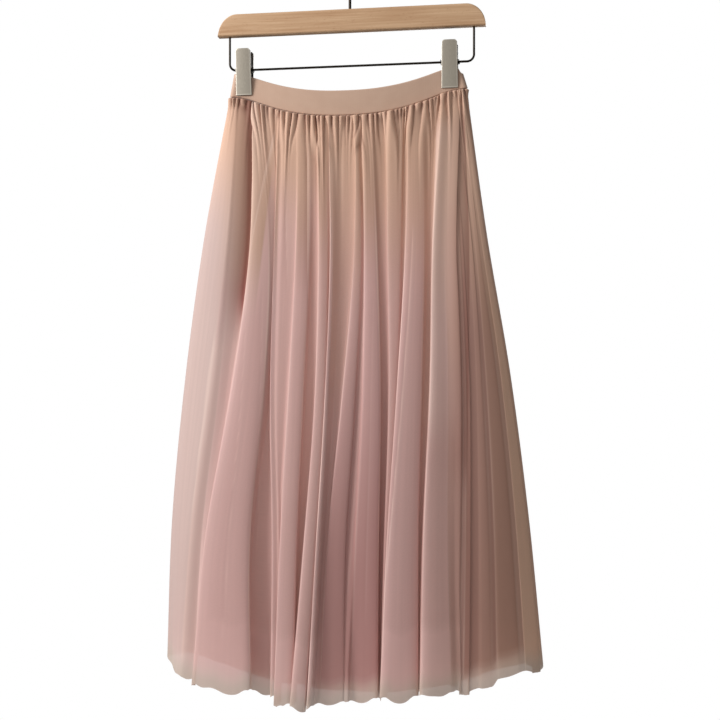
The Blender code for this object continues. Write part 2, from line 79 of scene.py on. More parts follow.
def bump(distance, width):
    # bell curve: e to the power of minus (distance / width) squared
    return np.exp(-(distance / width) ** 2)


def addNode(tree, kind, settings=None, links=None):
    # one node: settings are its properties or socket values, links are {its socket: (node, that node's
    # socket)}
    node = tree.nodes.new(kind)
    for key, value in (settings or {}).items():
        if isinstance(key, str) and hasattr(node, key):
            setattr(node, key, value)
        else:
            node.inputs[key].default_value = value
    for key, (source, socket) in (links or {}).items():
        tree.links.new(source.outputs[socket], node.inputs[key])
    return node


def newMaterial(name, settings):
    # a Principled material: its tree and shader, with the constant values on the shader's own sockets
    made = bpy.data.materials.new(name)
    made.use_nodes = True
    shader = made.node_tree.nodes["Principled BSDF"]
    for key, value in settings.items():
        shader.inputs[key].default_value = value
    return made, made.node_tree, shader


def gridFaces(rows, columns, closedRows=False, closedColumns=False):
    # quads of a (row, column) grid, each turned so that it faces columns x rows
    r = np.arange(rows if closedRows else rows - 1)[:, None]
    c = np.arange(columns if closedColumns else columns - 1)[None, :]
    a = r * columns + c
    b = r * columns + (c + 1) % columns
    d = ((r + 1) % rows) * columns + c
    e = ((r + 1) % rows) * columns + (c + 1) % columns
    return np.stack([a, b, e, d], axis=-1).reshape(-1, 4)


def makeMesh(name, points, faces, material, uv=None, marks=None, caps=()):
    # arrays into a mesh: points (n, 3), faces (m, 4), caps as rows of point numbers that close open ends,
    # uv (n, 2) in metres, marks {attribute: values (n)}
    points = np.asarray(points, float).reshape(-1, 3)
    corners = np.concatenate([faces.ravel(), *caps]).astype(np.int32)
    sizes = np.concatenate([np.full(len(faces), faces.shape[1]), [len(cap) for cap in caps]]).astype(np.int32)
    mesh = bpy.data.meshes.new(name)
    mesh.vertices.add(len(points))
    mesh.vertices.foreach_set("co", points.ravel())
    mesh.loops.add(len(corners))
    mesh.loops.foreach_set("vertex_index", corners)
    mesh.polygons.add(len(sizes))
    mesh.polygons.foreach_set("loop_start", np.cumsum(sizes, dtype=np.int32) - sizes)
    mesh.polygons.foreach_set("loop_total", sizes)
    mesh.update(calc_edges=True)
    mesh.validate()
    if uv is not None:
        layer = mesh.uv_layers.new(name="threads")
        layer.data.foreach_set("uv", np.asarray(uv, float).reshape(-1, 2)[corners].ravel())
    for key, values in (marks or {}).items():
        mark = mesh.attributes.new(key, "FLOAT", "POINT")
        mark.data.foreach_set("value", np.asarray(values, float).ravel())
    mesh.shade_smooth()
    mesh.materials.append(material)
    thing = bpy.data.objects.new(name, mesh)
    bpy.context.collection.objects.link(thing)
    return thing


def finish(piece, node):
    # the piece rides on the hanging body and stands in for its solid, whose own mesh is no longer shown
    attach(piece, "root")
    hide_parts(node)


def tube(name, path, radius, sides, taper=None):
    # a round wire along a path of points: a ring at each point square to the path, both ends closed.
    # taper gives each ring's share of the radius. a ring is turned from y, or from z where the path runs
    # nearly along y
    nearly = 0.2
    path = np.asarray(path, float)
    run = np.gradient(path, axis=0)
    run /= np.linalg.norm(run, axis=1, keepdims=True)
    across = np.cross(run, np.array([0.0, 1.0, 0.0]))
    flat = np.linalg.norm(across, axis=1) < nearly
    across[flat] = np.cross(run[flat], np.array([0.0, 0.0, 1.0]))
    across /= np.linalg.norm(across, axis=1, keepdims=True)
    upright = np.cross(across, run)
    turn = np.linspace(0, 2 * np.pi, sides, endpoint=False)
    size = radius * (np.ones(len(path)) if taper is None else taper)
    rings = (path[:, None] + size[:, None, None] * (np.cos(turn)[None, :, None] * across[:, None]
                                                    + np.sin(turn)[None, :, None] * upright[:, None]))
    ring = np.arange(sides)
    return makeMesh(name, rings, gridFaces(len(path), sides, closedColumns=True)[:, ::-1], wire,
                    caps=(ring, ring[::-1] + (len(path) - 1) * sides))


def arcPoints(centre, radius, startDeg, endDeg, steps):
    # an arc in the plane of the bar: centre plus radius times (cos, sin) of the angle
    turn = np.radians(np.linspace(startDeg, endDeg, steps + 1))
    return np.stack([centre[0] + radius * np.cos(turn), 0 * turn, centre[1] + radius * np.sin(turn)], axis=1)


# the skirt's form

levels = {"waist": 0.0, "hip": 0.26, "thigh": 0.49, "calf": 0.75, "hem": 1.0}     # shares of the way down

# how the waist sags between the clips, in metres: depths under the bar of the band's top and of the seam,
# midway and at the ends, and how far the band's right end slumps past its clip
droop = {"centre": -0.0055, "half": 0.139, "power": 2.3, "ease": 6.0, "topMid": 0.079, "topEnd": 0.049,
         "seamMid": 0.112, "seamEnd": 0.080, "slump": 0.011, "slumpFrom": 0.143, "slumpOver": 0.010}

# one row per fold from the skirt's left to its right, lengths in mm. form: the crest's left edge at five
# levels, its width at waist and hem, how far past it the hollow starts at waist and hem, how far crest and
# hollow stand out at waist and hem as shares of the fold's depth, and the hem's extra length. finish: how
# many more layers of net lie there, the share of the way down where they start, how bright the painted
# highlight on the net's folded edge is on the left and the right, how dark and how wide is the painted shade
# beside its left edge, the share of the way down where the hollow on its left turns from tan to rosy, and how
# much painted shade darkens that hollow and the crest as a whole
foldColumns = ("name", "waist", "hip", "thigh", "calf", "hem", "widthWaist", "widthHem", "pastWaist",
               "pastHem", "crestWaist", "crestHem", "hollowWaist", "hollowHem", "hemDrop",
               "layers", "apex", "leftLine", "rightLine", "shade", "shadeWidth", "rosyFrom", "hollowShade",
               "crestShade")
frontFolds = (
    ("leftRoll", -152, -163, -180, -206, -218, 3, 20, 24, -2, 0.75, 0.76, 0.2, 0.86, 8,
     0.25, 0.20, 0.3, 0.0, 0.0, 6, 0.90, 0.0, 0.2),
    ("bigLeft", -130, -130, -150, -184, -197, 7, 78, 19, -6, 0.68, 1.00, 0.25, 0.1, 8,
     0.90, 0.14, 0.3, 0.6, 0.06, 10, 0.42, 0.00, 0.10),
    ("slip", -94, -98, -100, -94, -93, 3, 8, 8, 0, 0.55, 0.6, 0.60, 0.58, 0,
     0.80, 0.22, 0.0, 0.0, 0.2, 6, 0.14, 0.08, 0.0),
    ("twin", -67, -68, -75, -83, -87, 14, 24, 9, -6, 0.66, 0.85, 0.30, 0.10, 5,
     0.85, 0.20, 0.25, 0.4, 0.25, 5, 0.16, 0.12, 0.0),
    ("longRidge", -40, -37, -39, -51, -64, 9, 18, 5, -5, 0.80, 1.00, 0.55, 0.15, 2,
     0.70, 0.18, 0.3, 0.3, 0.6, 4, 0.12, 0.05, 0.05),
    ("sharpEdge", -26, -22, -26, -35, -43, 3, 5, 12, 1, 0.90, 0.95, 0.35, 0.5, 0,
     0.70, 0.16, 0.8, 0.2, 0.8, 4, 0.16, 0.15, 0.0),
    ("sweep", 10, 9, -4, -22, -30, 2, 31, 3, 0, 0.80, 0.54, 0.40, 0.42, -6,
     0.90, 0.24, 0.3, 0.0, 0.4, 7, 0.48, 0.1, 0.5),
    ("centrePanel", 20, 23, 23, 15, 9, 10, 36, 8, -5, 0.90, 0.3, 0.30, 0.05, -4,
     1.00, 0.18, 0.15, 0.7, 0.2, 7, 0.20, 0.5, 0.5),
    ("narrowing", 50, 54, 57, 52, 48, 22, 1, 2, 1, 0.80, 0.20, 0.30, 0.10, -5,
     0.60, 0.22, 0.15, 0.2, 0.7, 7, 0.22, 0.4, 0.25),
    ("rightPanel", 80, 77, 68, 57, 51, 16, 47, 8, -4, 0.90, 0.95, 0.25, 0.25, -3,
     0.85, 0.20, 0.5, 0.3, 0.5, 5, 0.28, 0.30, 0.05),
    ("frontRidge", 124, 113, 111, 104, 102, 8, 38, 14, 6, 1.00, 1.00, 0.85, 0.62, 8,
     0.70, 0.30, 0.4, 0.0, 0.8, 6, 0.60, 0.12, 0.00),
    ("ridgeSlope", 127, 144, 152, 152, 149, 2.4, 5, 1, 2, 0.72, 0.61, 0.64, 0.6, 6,
     0.50, 0.30, 0.1, 0.1, 0.5, 10, 0.46, 0.25, 0.5),
    ("rightEdge", 133, 153, 161, 162, 160, 2.4, 13, 1, 4, 0.6, 0.58, 0.54, 0.56, 2,
     0.50, 0.30, 0.1, 0.0, 0.3, 8, 0.34, 0.66, 0.66),
    ("lastEdge", 139.5, 163, 177, 187, 191, 2.4, 6, 1, 2, 0.5, 0.55, 0.47, 0.54, -15,
     0.50, 0.30, 0.1, 0.1, 0.3, 6, 0.34, 0.58, 0.68),
    ("rightLobe", 146, 171, 195, 214, 226, 2.4, 6, 1, 0, 0.45, 0.53, 0.44, 0.52, -17,
     0.30, 0.40, 0.1, 0.0, 0.2, 6, 0.40, 0.6, 0.42),
)
backFolds = (
    ("leftWrap", -154, -176, -192, -212, -222, 3, 12, 6, 12, 0.80, 0.70, 0.25, 0.45, -8,
     0.40, 0.30, 0.2, 0.0, 0.2, 6, 0.40, 0.10, 0.00),
    ("outerLeft", -134, -140, -158, -176, -186, 6, 30, 6, -4, 0.90, 0.95, 0.25, 0.05, 2,
     0.90, 0.18, 0.5, 0.4, 0.7, 6, 0.30, 0.20, 0.10),
    ("narrowLeft", -108, -108, -118, -124, -130, 3, 10, 7, 0, 0.80, 0.65, 0.30, 0.30, 0,
     0.60, 0.24, 0.4, 0.0, 0.5, 6, 0.20, 0.35, 0.20),
    ("wideLeft", -82, -80, -90, -94, -96, 8, 44, 6, -5, 0.90, 1.00, 0.25, 0.05, 4,
     0.90, 0.15, 0.6, 0.5, 0.8, 7, 0.24, 0.30, 0.05),
    ("midLeft", -48, -40, -40, -38, -34, 4, 12, 8, -3, 0.80, 0.85, 0.30, 0.30, 0,
     0.70, 0.20, 0.3, 0.2, 0.5, 6, 0.44, 0.35, 0.15),
    ("middle", -16, -10, -10, -4, 0, 8, 38, 6, -4, 0.90, 0.95, 0.30, 0.10, 2,
     0.90, 0.16, 0.5, 0.5, 0.8, 8, 0.18, 0.30, 0.10),
    ("midRight", 20, 26, 34, 48, 56, 3, 8, 8, 2, 0.80, 0.70, 0.30, 0.35, 0,
     0.60, 0.26, 0.4, 0.1, 0.6, 6, 0.22, 0.35, 0.25),
    ("wideRight", 48, 58, 68, 78, 86, 8, 40, 7, -5, 0.90, 1.00, 0.30, 0.05, 5,
     0.90, 0.14, 0.5, 0.6, 0.7, 6, 0.48, 0.25, 0.10),
    ("narrowRight", 84, 96, 112, 132, 142, 3, 10, 7, 0, 0.80, 0.70, 0.30, 0.30, 0,
     0.60, 0.22, 0.3, 0.1, 0.5, 6, 0.24, 0.35, 0.20),
    ("outerRight", 110, 128, 146, 164, 174, 6, 26, 6, -3, 0.90, 0.95, 0.30, 0.20, 2,
     0.80, 0.18, 0.4, 0.4, 0.7, 6, 0.30, 0.30, 0.10),
    ("rightWrap", 138, 162, 186, 208, 220, 3, 10, 5, 2, 0.75, 0.65, 0.35, 0.45, -10,
     0.40, 0.30, 0.2, 0.0, 0.3, 6, 0.36, 0.20, 0.10),
)
liningFolds = (
    ("waveOne", -140, -160, -178, -192, -198, 12, 26, 6, 8, 1.0, 1.0, 0.0, 0.0, -8),
    ("waveTwo", -84, -88, -96, -104, -108, 16, 32, 6, 10, 1.0, 1.0, 0.0, 0.0, 2),
    ("waveThree", -30, -30, -34, -36, -38, 14, 30, 8, 10, 1.0, 1.0, 0.0, 0.0, 0),
    ("waveFour", 26, 30, 34, 40, 44, 14, 30, 8, 10, 1.0, 1.0, 0.0, 0.0, 4),
    ("waveFive", 80, 92, 104, 118, 126, 16, 30, 6, 8, 1.0, 1.0, 0.0, 0.0, -2),
    ("waveSix", 126, 146, 166, 184, 190, 8, 18, 5, 6, 1.0, 1.0, 0.0, 0.0, -6),
)

# left and right: the outline at the five levels in mm. hemDrop: the hem's extra length at the two ends in
# mm. hollow and fold: depth at the waist, at the hem and the power of its growth. level: how much shorter a
# fold that stands out hangs. slope: how far a crest falls off to its right, in full past the crest widths
# slopeWidth at waist and hem. rise: how far before the next crest a hollow ends, at waist and hem
net = {
    "left": (-164, -200, -225, -245, -252), "right": (155, 182, 211, 236, 254), "hemDrop": (-8, -16),
    "hollow": (0.0048, 0.0440, 0.80), "fold": (0.0046, 0.0370, 1.00), "length": 0.768, "level": 0.12,
    "slope": 0.28, "slopeWidth": (0.008, 0.045), "rise": (0.0015, 0.0035), "frontColumns": 640,
    "backColumns": 500,
}
lining = {
    "left": (-161, -193, -219, -236, -241), "right": (152, 177, 203, 227, 236), "hemDrop": (-6, -6),
    "hollow": (0.0019, 0.0330, 0.80), "fold": (0.0003, 0.0050, 1.00), "length": 0.752,
    "slope": 0.0, "slopeWidth": (0.008, 0.045), "rise": (0.1, 0.1), "columns": 220, "gathers": 0.25,
    "clearance": 0.0004,
}
# the tube that both share: how it rolls in at its ends, the least width of a hollow, how far its middle
# bulges below the waist, how square the oval is, how many steps lie between two guide points, how far under
# the band the cloth starts, and how much of a fold's own hem length its edges keep
tubeForm = {"endRollWaist": 0.0022, "endRollHem": 0.014, "hollowWaist": 0.0015, "hollowHem": 0.006,
            "bulge": 0.0070, "bulgeFade": 0.30, "bulgeReach": 1.3, "roundWaist": 11.0, "roundHem": 3.0,
            "roundPower": 3, "steps": 16, "seamGap": 0.0002, "dropShare": 0.6}
# how points are spread over the cloth: rows fineRow apart in the gathers and closer again over the hem;
# columns closer at bends (metres for each radian) and at the waist (share of its length)
spread = {"fineRow": 0.0015, "gathered": 0.045, "middleRows": 96, "hem": 0.012, "hemRows": 9, "bend": 0.004,
          "waist": 0.8}


def waistLine(x, middle, end):
    # lowest midway between the clips: it rises by a power of the distance, then eases to level outside them
    rise = np.abs((x - droop["centre"]) / droop["half"]) ** droop["power"]
    rise = rise / (1 + rise ** droop["ease"]) ** (1 / droop["ease"])
    return barUnder - middle + (middle - end) * rise


def seamHeight(x):
    # the line where the net meets the band
    return waistLine(x, droop["seamMid"], droop["seamEnd"])


def bandTopHeight(x):
    # the band's top line, less the slump of its right end as a square of the distance
    past = np.clip((x - droop["slumpFrom"]) / droop["slumpOver"], 0.0, 1.0)
    return waistLine(x, droop["topMid"], droop["topEnd"]) - droop["slump"] * past ** 2


def between(waist, hem, down, power=1.0):
    # from the waist's value to the hem's, by a power of the share of the way down
    return waist + (hem - waist) * down ** power


def smoothCurve(points, gaps, share, segment, closed):
    # cubic through the points, each tangent the weighted mean of the slopes beside it
    after = np.roll(points, -1, axis=1)
    step = (after - points) / gaps[..., None]
    before = np.roll(step, 1, axis=1)
    beforeGap = np.roll(gaps, 1, axis=1)
    weight = (beforeGap / (beforeGap + gaps))[..., None]
    tangent = step * weight + before * (1 - weight)
    if not closed:
        tangent[:, 0] = step[:, 0]
        tangent[:, -1] = before[:, -1]
    follow = (segment + 1) % points.shape[1]
    u = share[None, :, None]
    h = gaps[:, segment][..., None]
    return ((2 * u ** 3 - 3 * u ** 2 + 1) * points[:, segment]
            + (u ** 3 - 2 * u ** 2 + u) * h * tangent[:, segment]
            + (3 * u ** 2 - 2 * u ** 3) * points[:, follow] + (u ** 3 - u ** 2) * h * tangent[:, follow])


def closedCurve(knots):
    # a smooth loop through the knots of every row, spaced by the root of their distance: the points, and
    # for each the knot before it and its share of the way to the next
    gaps = np.linalg.norm(np.roll(knots, -1, axis=1) - knots, axis=2) ** 0.5
    count, steps = knots.shape[1], tubeForm["steps"]
    segment = np.repeat(np.arange(count), steps)
    share = np.tile(np.arange(steps) / steps, count)
    return smoothCurve(knots, gaps, share, segment, True), segment, share


def alongLevels(values, down):
    # a line given at the five levels, read at every share of the way down
    at = np.array(list(levels.values()))
    gaps = np.append(np.diff(at), 1.0)[None, :]
    segment = np.clip(np.searchsorted(at, down, side="right") - 1, 0, len(at) - 2)
    share = (down - at[segment]) / gaps[0, segment]
    return smoothCurve(np.array(values, float)[None, :, None], gaps, share, segment, False)[0, :, 0]


def envelope(cloth, x, down):
    # the oval, (1 - across to a power) to one over that power, and the bulge of the waist at x, for every
    # row
    left = alongLevels(cloth["left"], down) * mm
    right = alongLevels(cloth["right"], down) * mm
    shape = (-1,) + (1,) * (np.ndim(x) - 1)
    left, right, down = left.reshape(shape), right.reshape(shape), down.reshape(shape)
    across = np.clip(np.abs((x - (left + right) / 2) / ((right - left) / 2)), 0.0, 1.0)
    rounding = between(tubeForm["roundHem"], tubeForm["roundWaist"], 1 - down, tubeForm["roundPower"])
    oval = (1 - across ** rounding) ** (1 / rounding)
    fade = np.clip(1 - down / tubeForm["bulgeFade"], 0, 1) ** 2
    rise = fade * np.clip(1 - across ** 2 * tubeForm["bulgeReach"], 0, 1)
    return oval, tubeForm["bulge"] * rise


def foldGuides(folds, cloth, down, side):
    # guide points of one side: each fold gives its crest's two edges and the hollow after it
    left = alongLevels(cloth["left"], down) * mm
    right = alongLevels(cloth["right"], down) * mm
    hollowDepth = between(*cloth["hollow"][:2], down, cloth["hollow"][2])
    foldDepth = between(*cloth["fold"][:2], down, cloth["fold"][2])
    endRoll = between(tubeForm["endRollWaist"], tubeForm["endRollHem"], down, 2)
    hollowWidth = between(tubeForm["hollowWaist"], tubeForm["hollowHem"], down)
    leftDrop, rightDrop = cloth["hemDrop"]
    own = tubeForm["dropShare"]
    guides = [(left, 0.0, leftDrop), (left + endRoll, 0.0, leftDrop)]
    rows = [dict(zip(foldColumns, row)) for row in folds]
    edges = [alongLevels([fold[level] for level in levels], down) * mm for fold in rows] + [right]
    for i, fold in enumerate(rows):
        edge = edges[i]
        width = between(fold["widthWaist"], fold["widthHem"], down) * mm
        crestEnd = edge + width
        hollowStart = crestEnd + between(fold["pastWaist"], fold["pastHem"], down) * mm
        crest = between(fold["crestWaist"], fold["crestHem"], down)
        hollow = between(fold["hollowWaist"], fold["hollowHem"], down)
        lost = cloth["slope"] * np.clip(width / between(*cloth["slopeWidth"], down), 0.0, 1.0)
        drops = [rows[i - 1]["hemDrop"] if i else leftDrop, fold["hemDrop"],
                 rows[i + 1]["hemDrop"] if i + 1 < len(rows) else rightDrop]
        leftDropHere, rightDropHere = (drops[k] * (1 - own) + drops[1] * own for k in (0, 2))
        guides += [(edge, crest, leftDropHere), (crestEnd, crest * (1 - lost), rightDropHere)]
        hollowEnd = np.maximum(hollowStart + hollowWidth, edges[i + 1] - between(*cloth["rise"], down))
        nextDropHere = drops[1] * (1 - own) + drops[2] * own
        guides += [(hollowStart, hollow, rightDropHere), (hollowEnd, hollow, nextDropHere)]
    guides.append((right - endRoll, 0.0, rightDrop))
    knots = []
    for i, (x, reach, _) in enumerate(guides):
        oval, bulge = envelope(cloth, x, down)
        depth = oval * (hollowDepth + bulge + reach * foldDepth) * min(i, 1)
        knots.append(np.stack([x, side * depth], axis=1))
    return np.stack(knots, axis=1), [drop * mm for _, _, drop in guides], right


def tubeSections(front, back, cloth, down):
    # closed sections of the whole tube: (row, place, x-y), each place's extra length, and the front's share
    ahead, aheadDrop, right = foldGuides(front, cloth, down, -1)
    behind, behindDrop, _ = foldGuides(back, cloth, down, 1)
    seamRight = np.stack([right, np.zeros_like(right)], axis=1)[:, None]
    knots = np.concatenate([ahead, seamRight, behind[:, :0:-1]], axis=1)
    drops = np.array(aheadDrop + [cloth["hemDrop"][1] * mm] + behindDrop[:0:-1])
    flat, segment, share = closedCurve(knots)
    drop = drops[segment] * (1 - share) + drops[(segment + 1) % len(drops)] * share
    return flat, drop, ahead.shape[1] * tubeForm["steps"]


def pickColumns(flat, drop, start, end, columns):
    # columns between two places, closer together at bends and where the waist needs them.
    # gives their points, extra length, distance along each row, and the distances of the guide points
    wrapped = np.concatenate([flat, flat[:, :1]], axis=1)[:, start:end + 1]
    drop = np.append(drop, drop[0])[start:end + 1]
    step = np.diff(wrapped, axis=1)
    length = np.linalg.norm(step, axis=2)
    run = step / length[..., None]
    turn = np.arccos((run[:, 1:] * run[:, :-1]).sum(axis=2).clip(-1.0, 1.0))
    spacing = length.mean(axis=0) + spread["waist"] * length[0]
    spacing[1:] += spread["bend"] * turn.mean(axis=0)
    along = np.concatenate([[0.0], np.cumsum(spacing)])
    place = np.interp(np.linspace(0.0, along[-1], columns), along, np.arange(len(along)))
    low = np.minimum(place.astype(int), len(along) - 2)
    part = place - low
    arc = np.concatenate([np.zeros((len(flat), 1)), np.cumsum(length, axis=1)], axis=1)
    points = wrapped[:, low] * (1 - part)[None, :, None] + wrapped[:, low + 1] * part[None, :, None]
    return (points, drop[low] * (1 - part) + drop[low + 1] * part,
            arc[:, low] * (1 - part) + arc[:, low + 1] * part, arc[:, ::tubeForm["steps"]])


def rowShares(length):
    # rows down the cloth as shares of its length: close together in the gathers and at the hem, wider
    # between
    fine = np.arange(0.0, spread["gathered"], spread["fineRow"])
    middle = np.linspace(spread["gathered"], length - spread["hem"], spread["middleRows"])
    hem = np.linspace(length - spread["hem"], length, spread["hemRows"])
    return np.concatenate([fine, middle, hem[1:]]) / length


# gathers

# gathers under the band, in metres. pitch, height and fade (least, most) of the fine ones, and of the broad
# ones, which come in over broadFrom; uneven: how much their widths differ; lean, tall and lasts: ranges of
# each one's lean, height and slit; slitFade and slitWidth: how far down the painted shade of the slit between
# two lasts and how wide it is; broadShade: the painted shade between broad ones; notchFrom, notchLow and
# notchReach: ridges under notchFrom times notchLow high get painted shade at the seam, the more so the lower
# they are, and how far down; wander, wanderBy and sway: how far they stray sideways, over what fall, and the
# wavelengths; tuck: how far down the cloth's top edge goes in under the band; ends: no gathers this near a
# side seam; calm: how much the roll at the left end flattens them, and where; grow: where they grow out of
# the seam; seat: the painted shade right under the band; first: how far before the panel's edge the first
# one starts; the powers: how full a ridge is, and how suddenly it and the slit beside it end; bandHalfDepth:
# x and half the band's depth in mm
gathers = {"pitch": 0.0074, "uneven": 0.45, "height": 0.0048, "fade": (0.010, 0.060), "tuck": 0.0026,
           "broadPitch": 0.0210, "broadHeight": 0.0017, "broadFade": (0.040, 0.140), "broadFrom": 0.030,
           "broadShade": 0.25, "wander": 0.0040, "wanderBy": 0.070, "sway": (0.090, 0.041, 0.023),
           "lean": (0.6, 1.1), "tall": (0.5, 1.3), "lasts": (0.5, 1.5), "slitFade": 0.040,
           "slitWidth": 0.0009, "notchFrom": 1.9, "notchLow": 0.0012, "notchReach": 0.013, "ends": 0.006,
           "calm": 0.7, "calmAcross": (-0.125, -0.140), "calmDown": (0.004, 0.020), "grow": (-0.0005, 0.0030),
           "seat": 0.25, "seatHeight": 0.0030, "first": (0.5, 1.5), "ridgePower": 0.8, "fadePower": 1.3,
           "slitPower": 1.5,
           "bandHalfDepth": ((-163, 0), (-154, 1.5), (-134, 1.5), (-95, 4.8), (-50, 7.6), (-5, 8.4),
                             (40, 7.6), (85, 4.8), (123, 1.5), (143, 1.5), (155, 0))}


def gatherField(across, fall, pitch, height, fade, random):
    # ridges side by side: |sin| to a power over each gather, each with its own width, height and fade down
    # the cloth. gives how far the ridges stand out, and how near each point is to a slit between two (0 to
    # 1)
    count = int(across.max() / pitch) + 4
    widths = pitch * (1 + gathers["uneven"] * random.uniform(-1, 1, count))
    edges = np.concatenate([[-pitch * random.uniform(*gathers["first"])], np.zeros(count)])
    edges[1:] = edges[0] + np.cumsum(widths)
    which = np.clip(np.searchsorted(edges, across, side="right") - 1, 0, count - 1)
    part = np.clip((across - edges[which]) / widths[which], 0, 1)
    lean = random.uniform(*gathers["lean"], count)[which]
    ridge = np.sin(np.pi * part ** lean) ** gathers["ridgePower"]
    heights = height * random.uniform(*gathers["tall"], count)[which]
    fades = np.exp(random.uniform(math.log(fade[0]), math.log(fade[1]), count))[which]
    lasts = np.exp(-(fall / fades) ** gathers["fadePower"])
    beside = np.minimum(part, 1 - part) * widths[which]
    slitLasts = random.uniform(*gathers["lasts"], count)[which] * gathers["slitFade"]
    slit = np.exp(-(beside / gathers["slitWidth"]) ** gathers["slitPower"]) * np.exp(-fall / slitLasts)
    return heights * ridge * lasts, slit


def gatherTop(cloth, flat, arc, down, side, seed, share=1.0):
    # gathers at the seam, pushed outward along it, and the tuck of the cloth's top edge under the band.
    # gives the points and the painted shade in the slit between two gathers, on low ridges at the seam and
    # right under the band
    random = np.random.default_rng(seed)
    fall = (down * cloth["length"])[:, None]
    run = np.gradient(flat, axis=1)
    run /= np.linalg.norm(run, axis=2, keepdims=True)
    outward = np.stack([run[..., 1], -run[..., 0]], axis=2)
    top = arc[0]
    sway = sum(np.sin(2 * np.pi * (top / length + random.uniform())) for length in gathers["sway"])
    across = top[None, :] + gathers["wander"] * sway[None, :] * smoothStep(0.0, gathers["wanderBy"], fall)
    fine, slit = gatherField(across, fall, gathers["pitch"], gathers["height"], gathers["fade"], random)
    broad, hollow = gatherField(across, fall, gathers["broadPitch"], gathers["broadHeight"],
                                gathers["broadFade"], random)
    broad = broad * smoothStep(0.0, gathers["broadFrom"], fall)
    ends = smoothStep(0.0, gathers["ends"], top) * smoothStep(0.0, gathers["ends"], top[-1] - top)
    rolled = smoothStep(*gathers["calmAcross"], flat[..., 0]) * smoothStep(*gathers["calmDown"], fall)
    calm = 1 - gathers["calm"] * rolled
    push = (fine * calm * smoothStep(*gathers["grow"], fall) + broad * calm) * ends[None, :] * share
    shaped = flat + outward * push[..., None]
    table = np.array(gathers["bandHalfDepth"]) * mm
    under = side * np.interp(shaped[..., 0], table[:, 0], table[:, 1])
    tucked = smoothStep(0.0, gathers["tuck"], fall) ** 0.5
    shaped[..., 1] = under * (1 - tucked) + shaped[..., 1] * tucked
    notch = np.clip(gathers["notchFrom"] - fine / gathers["notchLow"], 0, 1)
    notch = notch * np.exp(-(fall / gathers["notchReach"]) ** 2)
    seat = gathers["seat"] * bump(fall, gathers["seatHeight"])
    shade = np.maximum(slit * calm, notch) + gathers["broadShade"] * hollow * calm + seat
    return shaped, np.clip(shade, 0, 1) * ends[None, :]


# materials

# the two deep colours are painted shade for hollows, creases, the gaps between gathers and under the band;
# the net's edge colour is a folded edge's doubled thread with a painted highlight
fabricColours = {"netTan": "#E2BDA6", "netPale": "#CFB8B3", "netRosy": "#E2C0B8", "netLayered": "#E1BCB9",
                 "netEdgeAndHighlight": "#F6DED4", "paintedShadeTan": "#82584A", "paintedShadeRosy": "#985A56", "netHem": "#BFAFA3",
                 "liningLight": "#E6C2B0", "liningShade": "#DCB7A5", "band": "#C4A794",
                 "bandShade": "#BA9B88"}
# how opaque one layer of net is, what each mark adds, the most it can reach, how much of the shader is
# light passing through, and the strength of the streaks and specks
netLook = {"opacity": 0.58, "layers": 0.28, "edge": 0.26, "deep": 0.26, "extra": 0.34, "most": 0.94,
           "through": 0.16, "streaks": 0.06, "specks": 0.06}


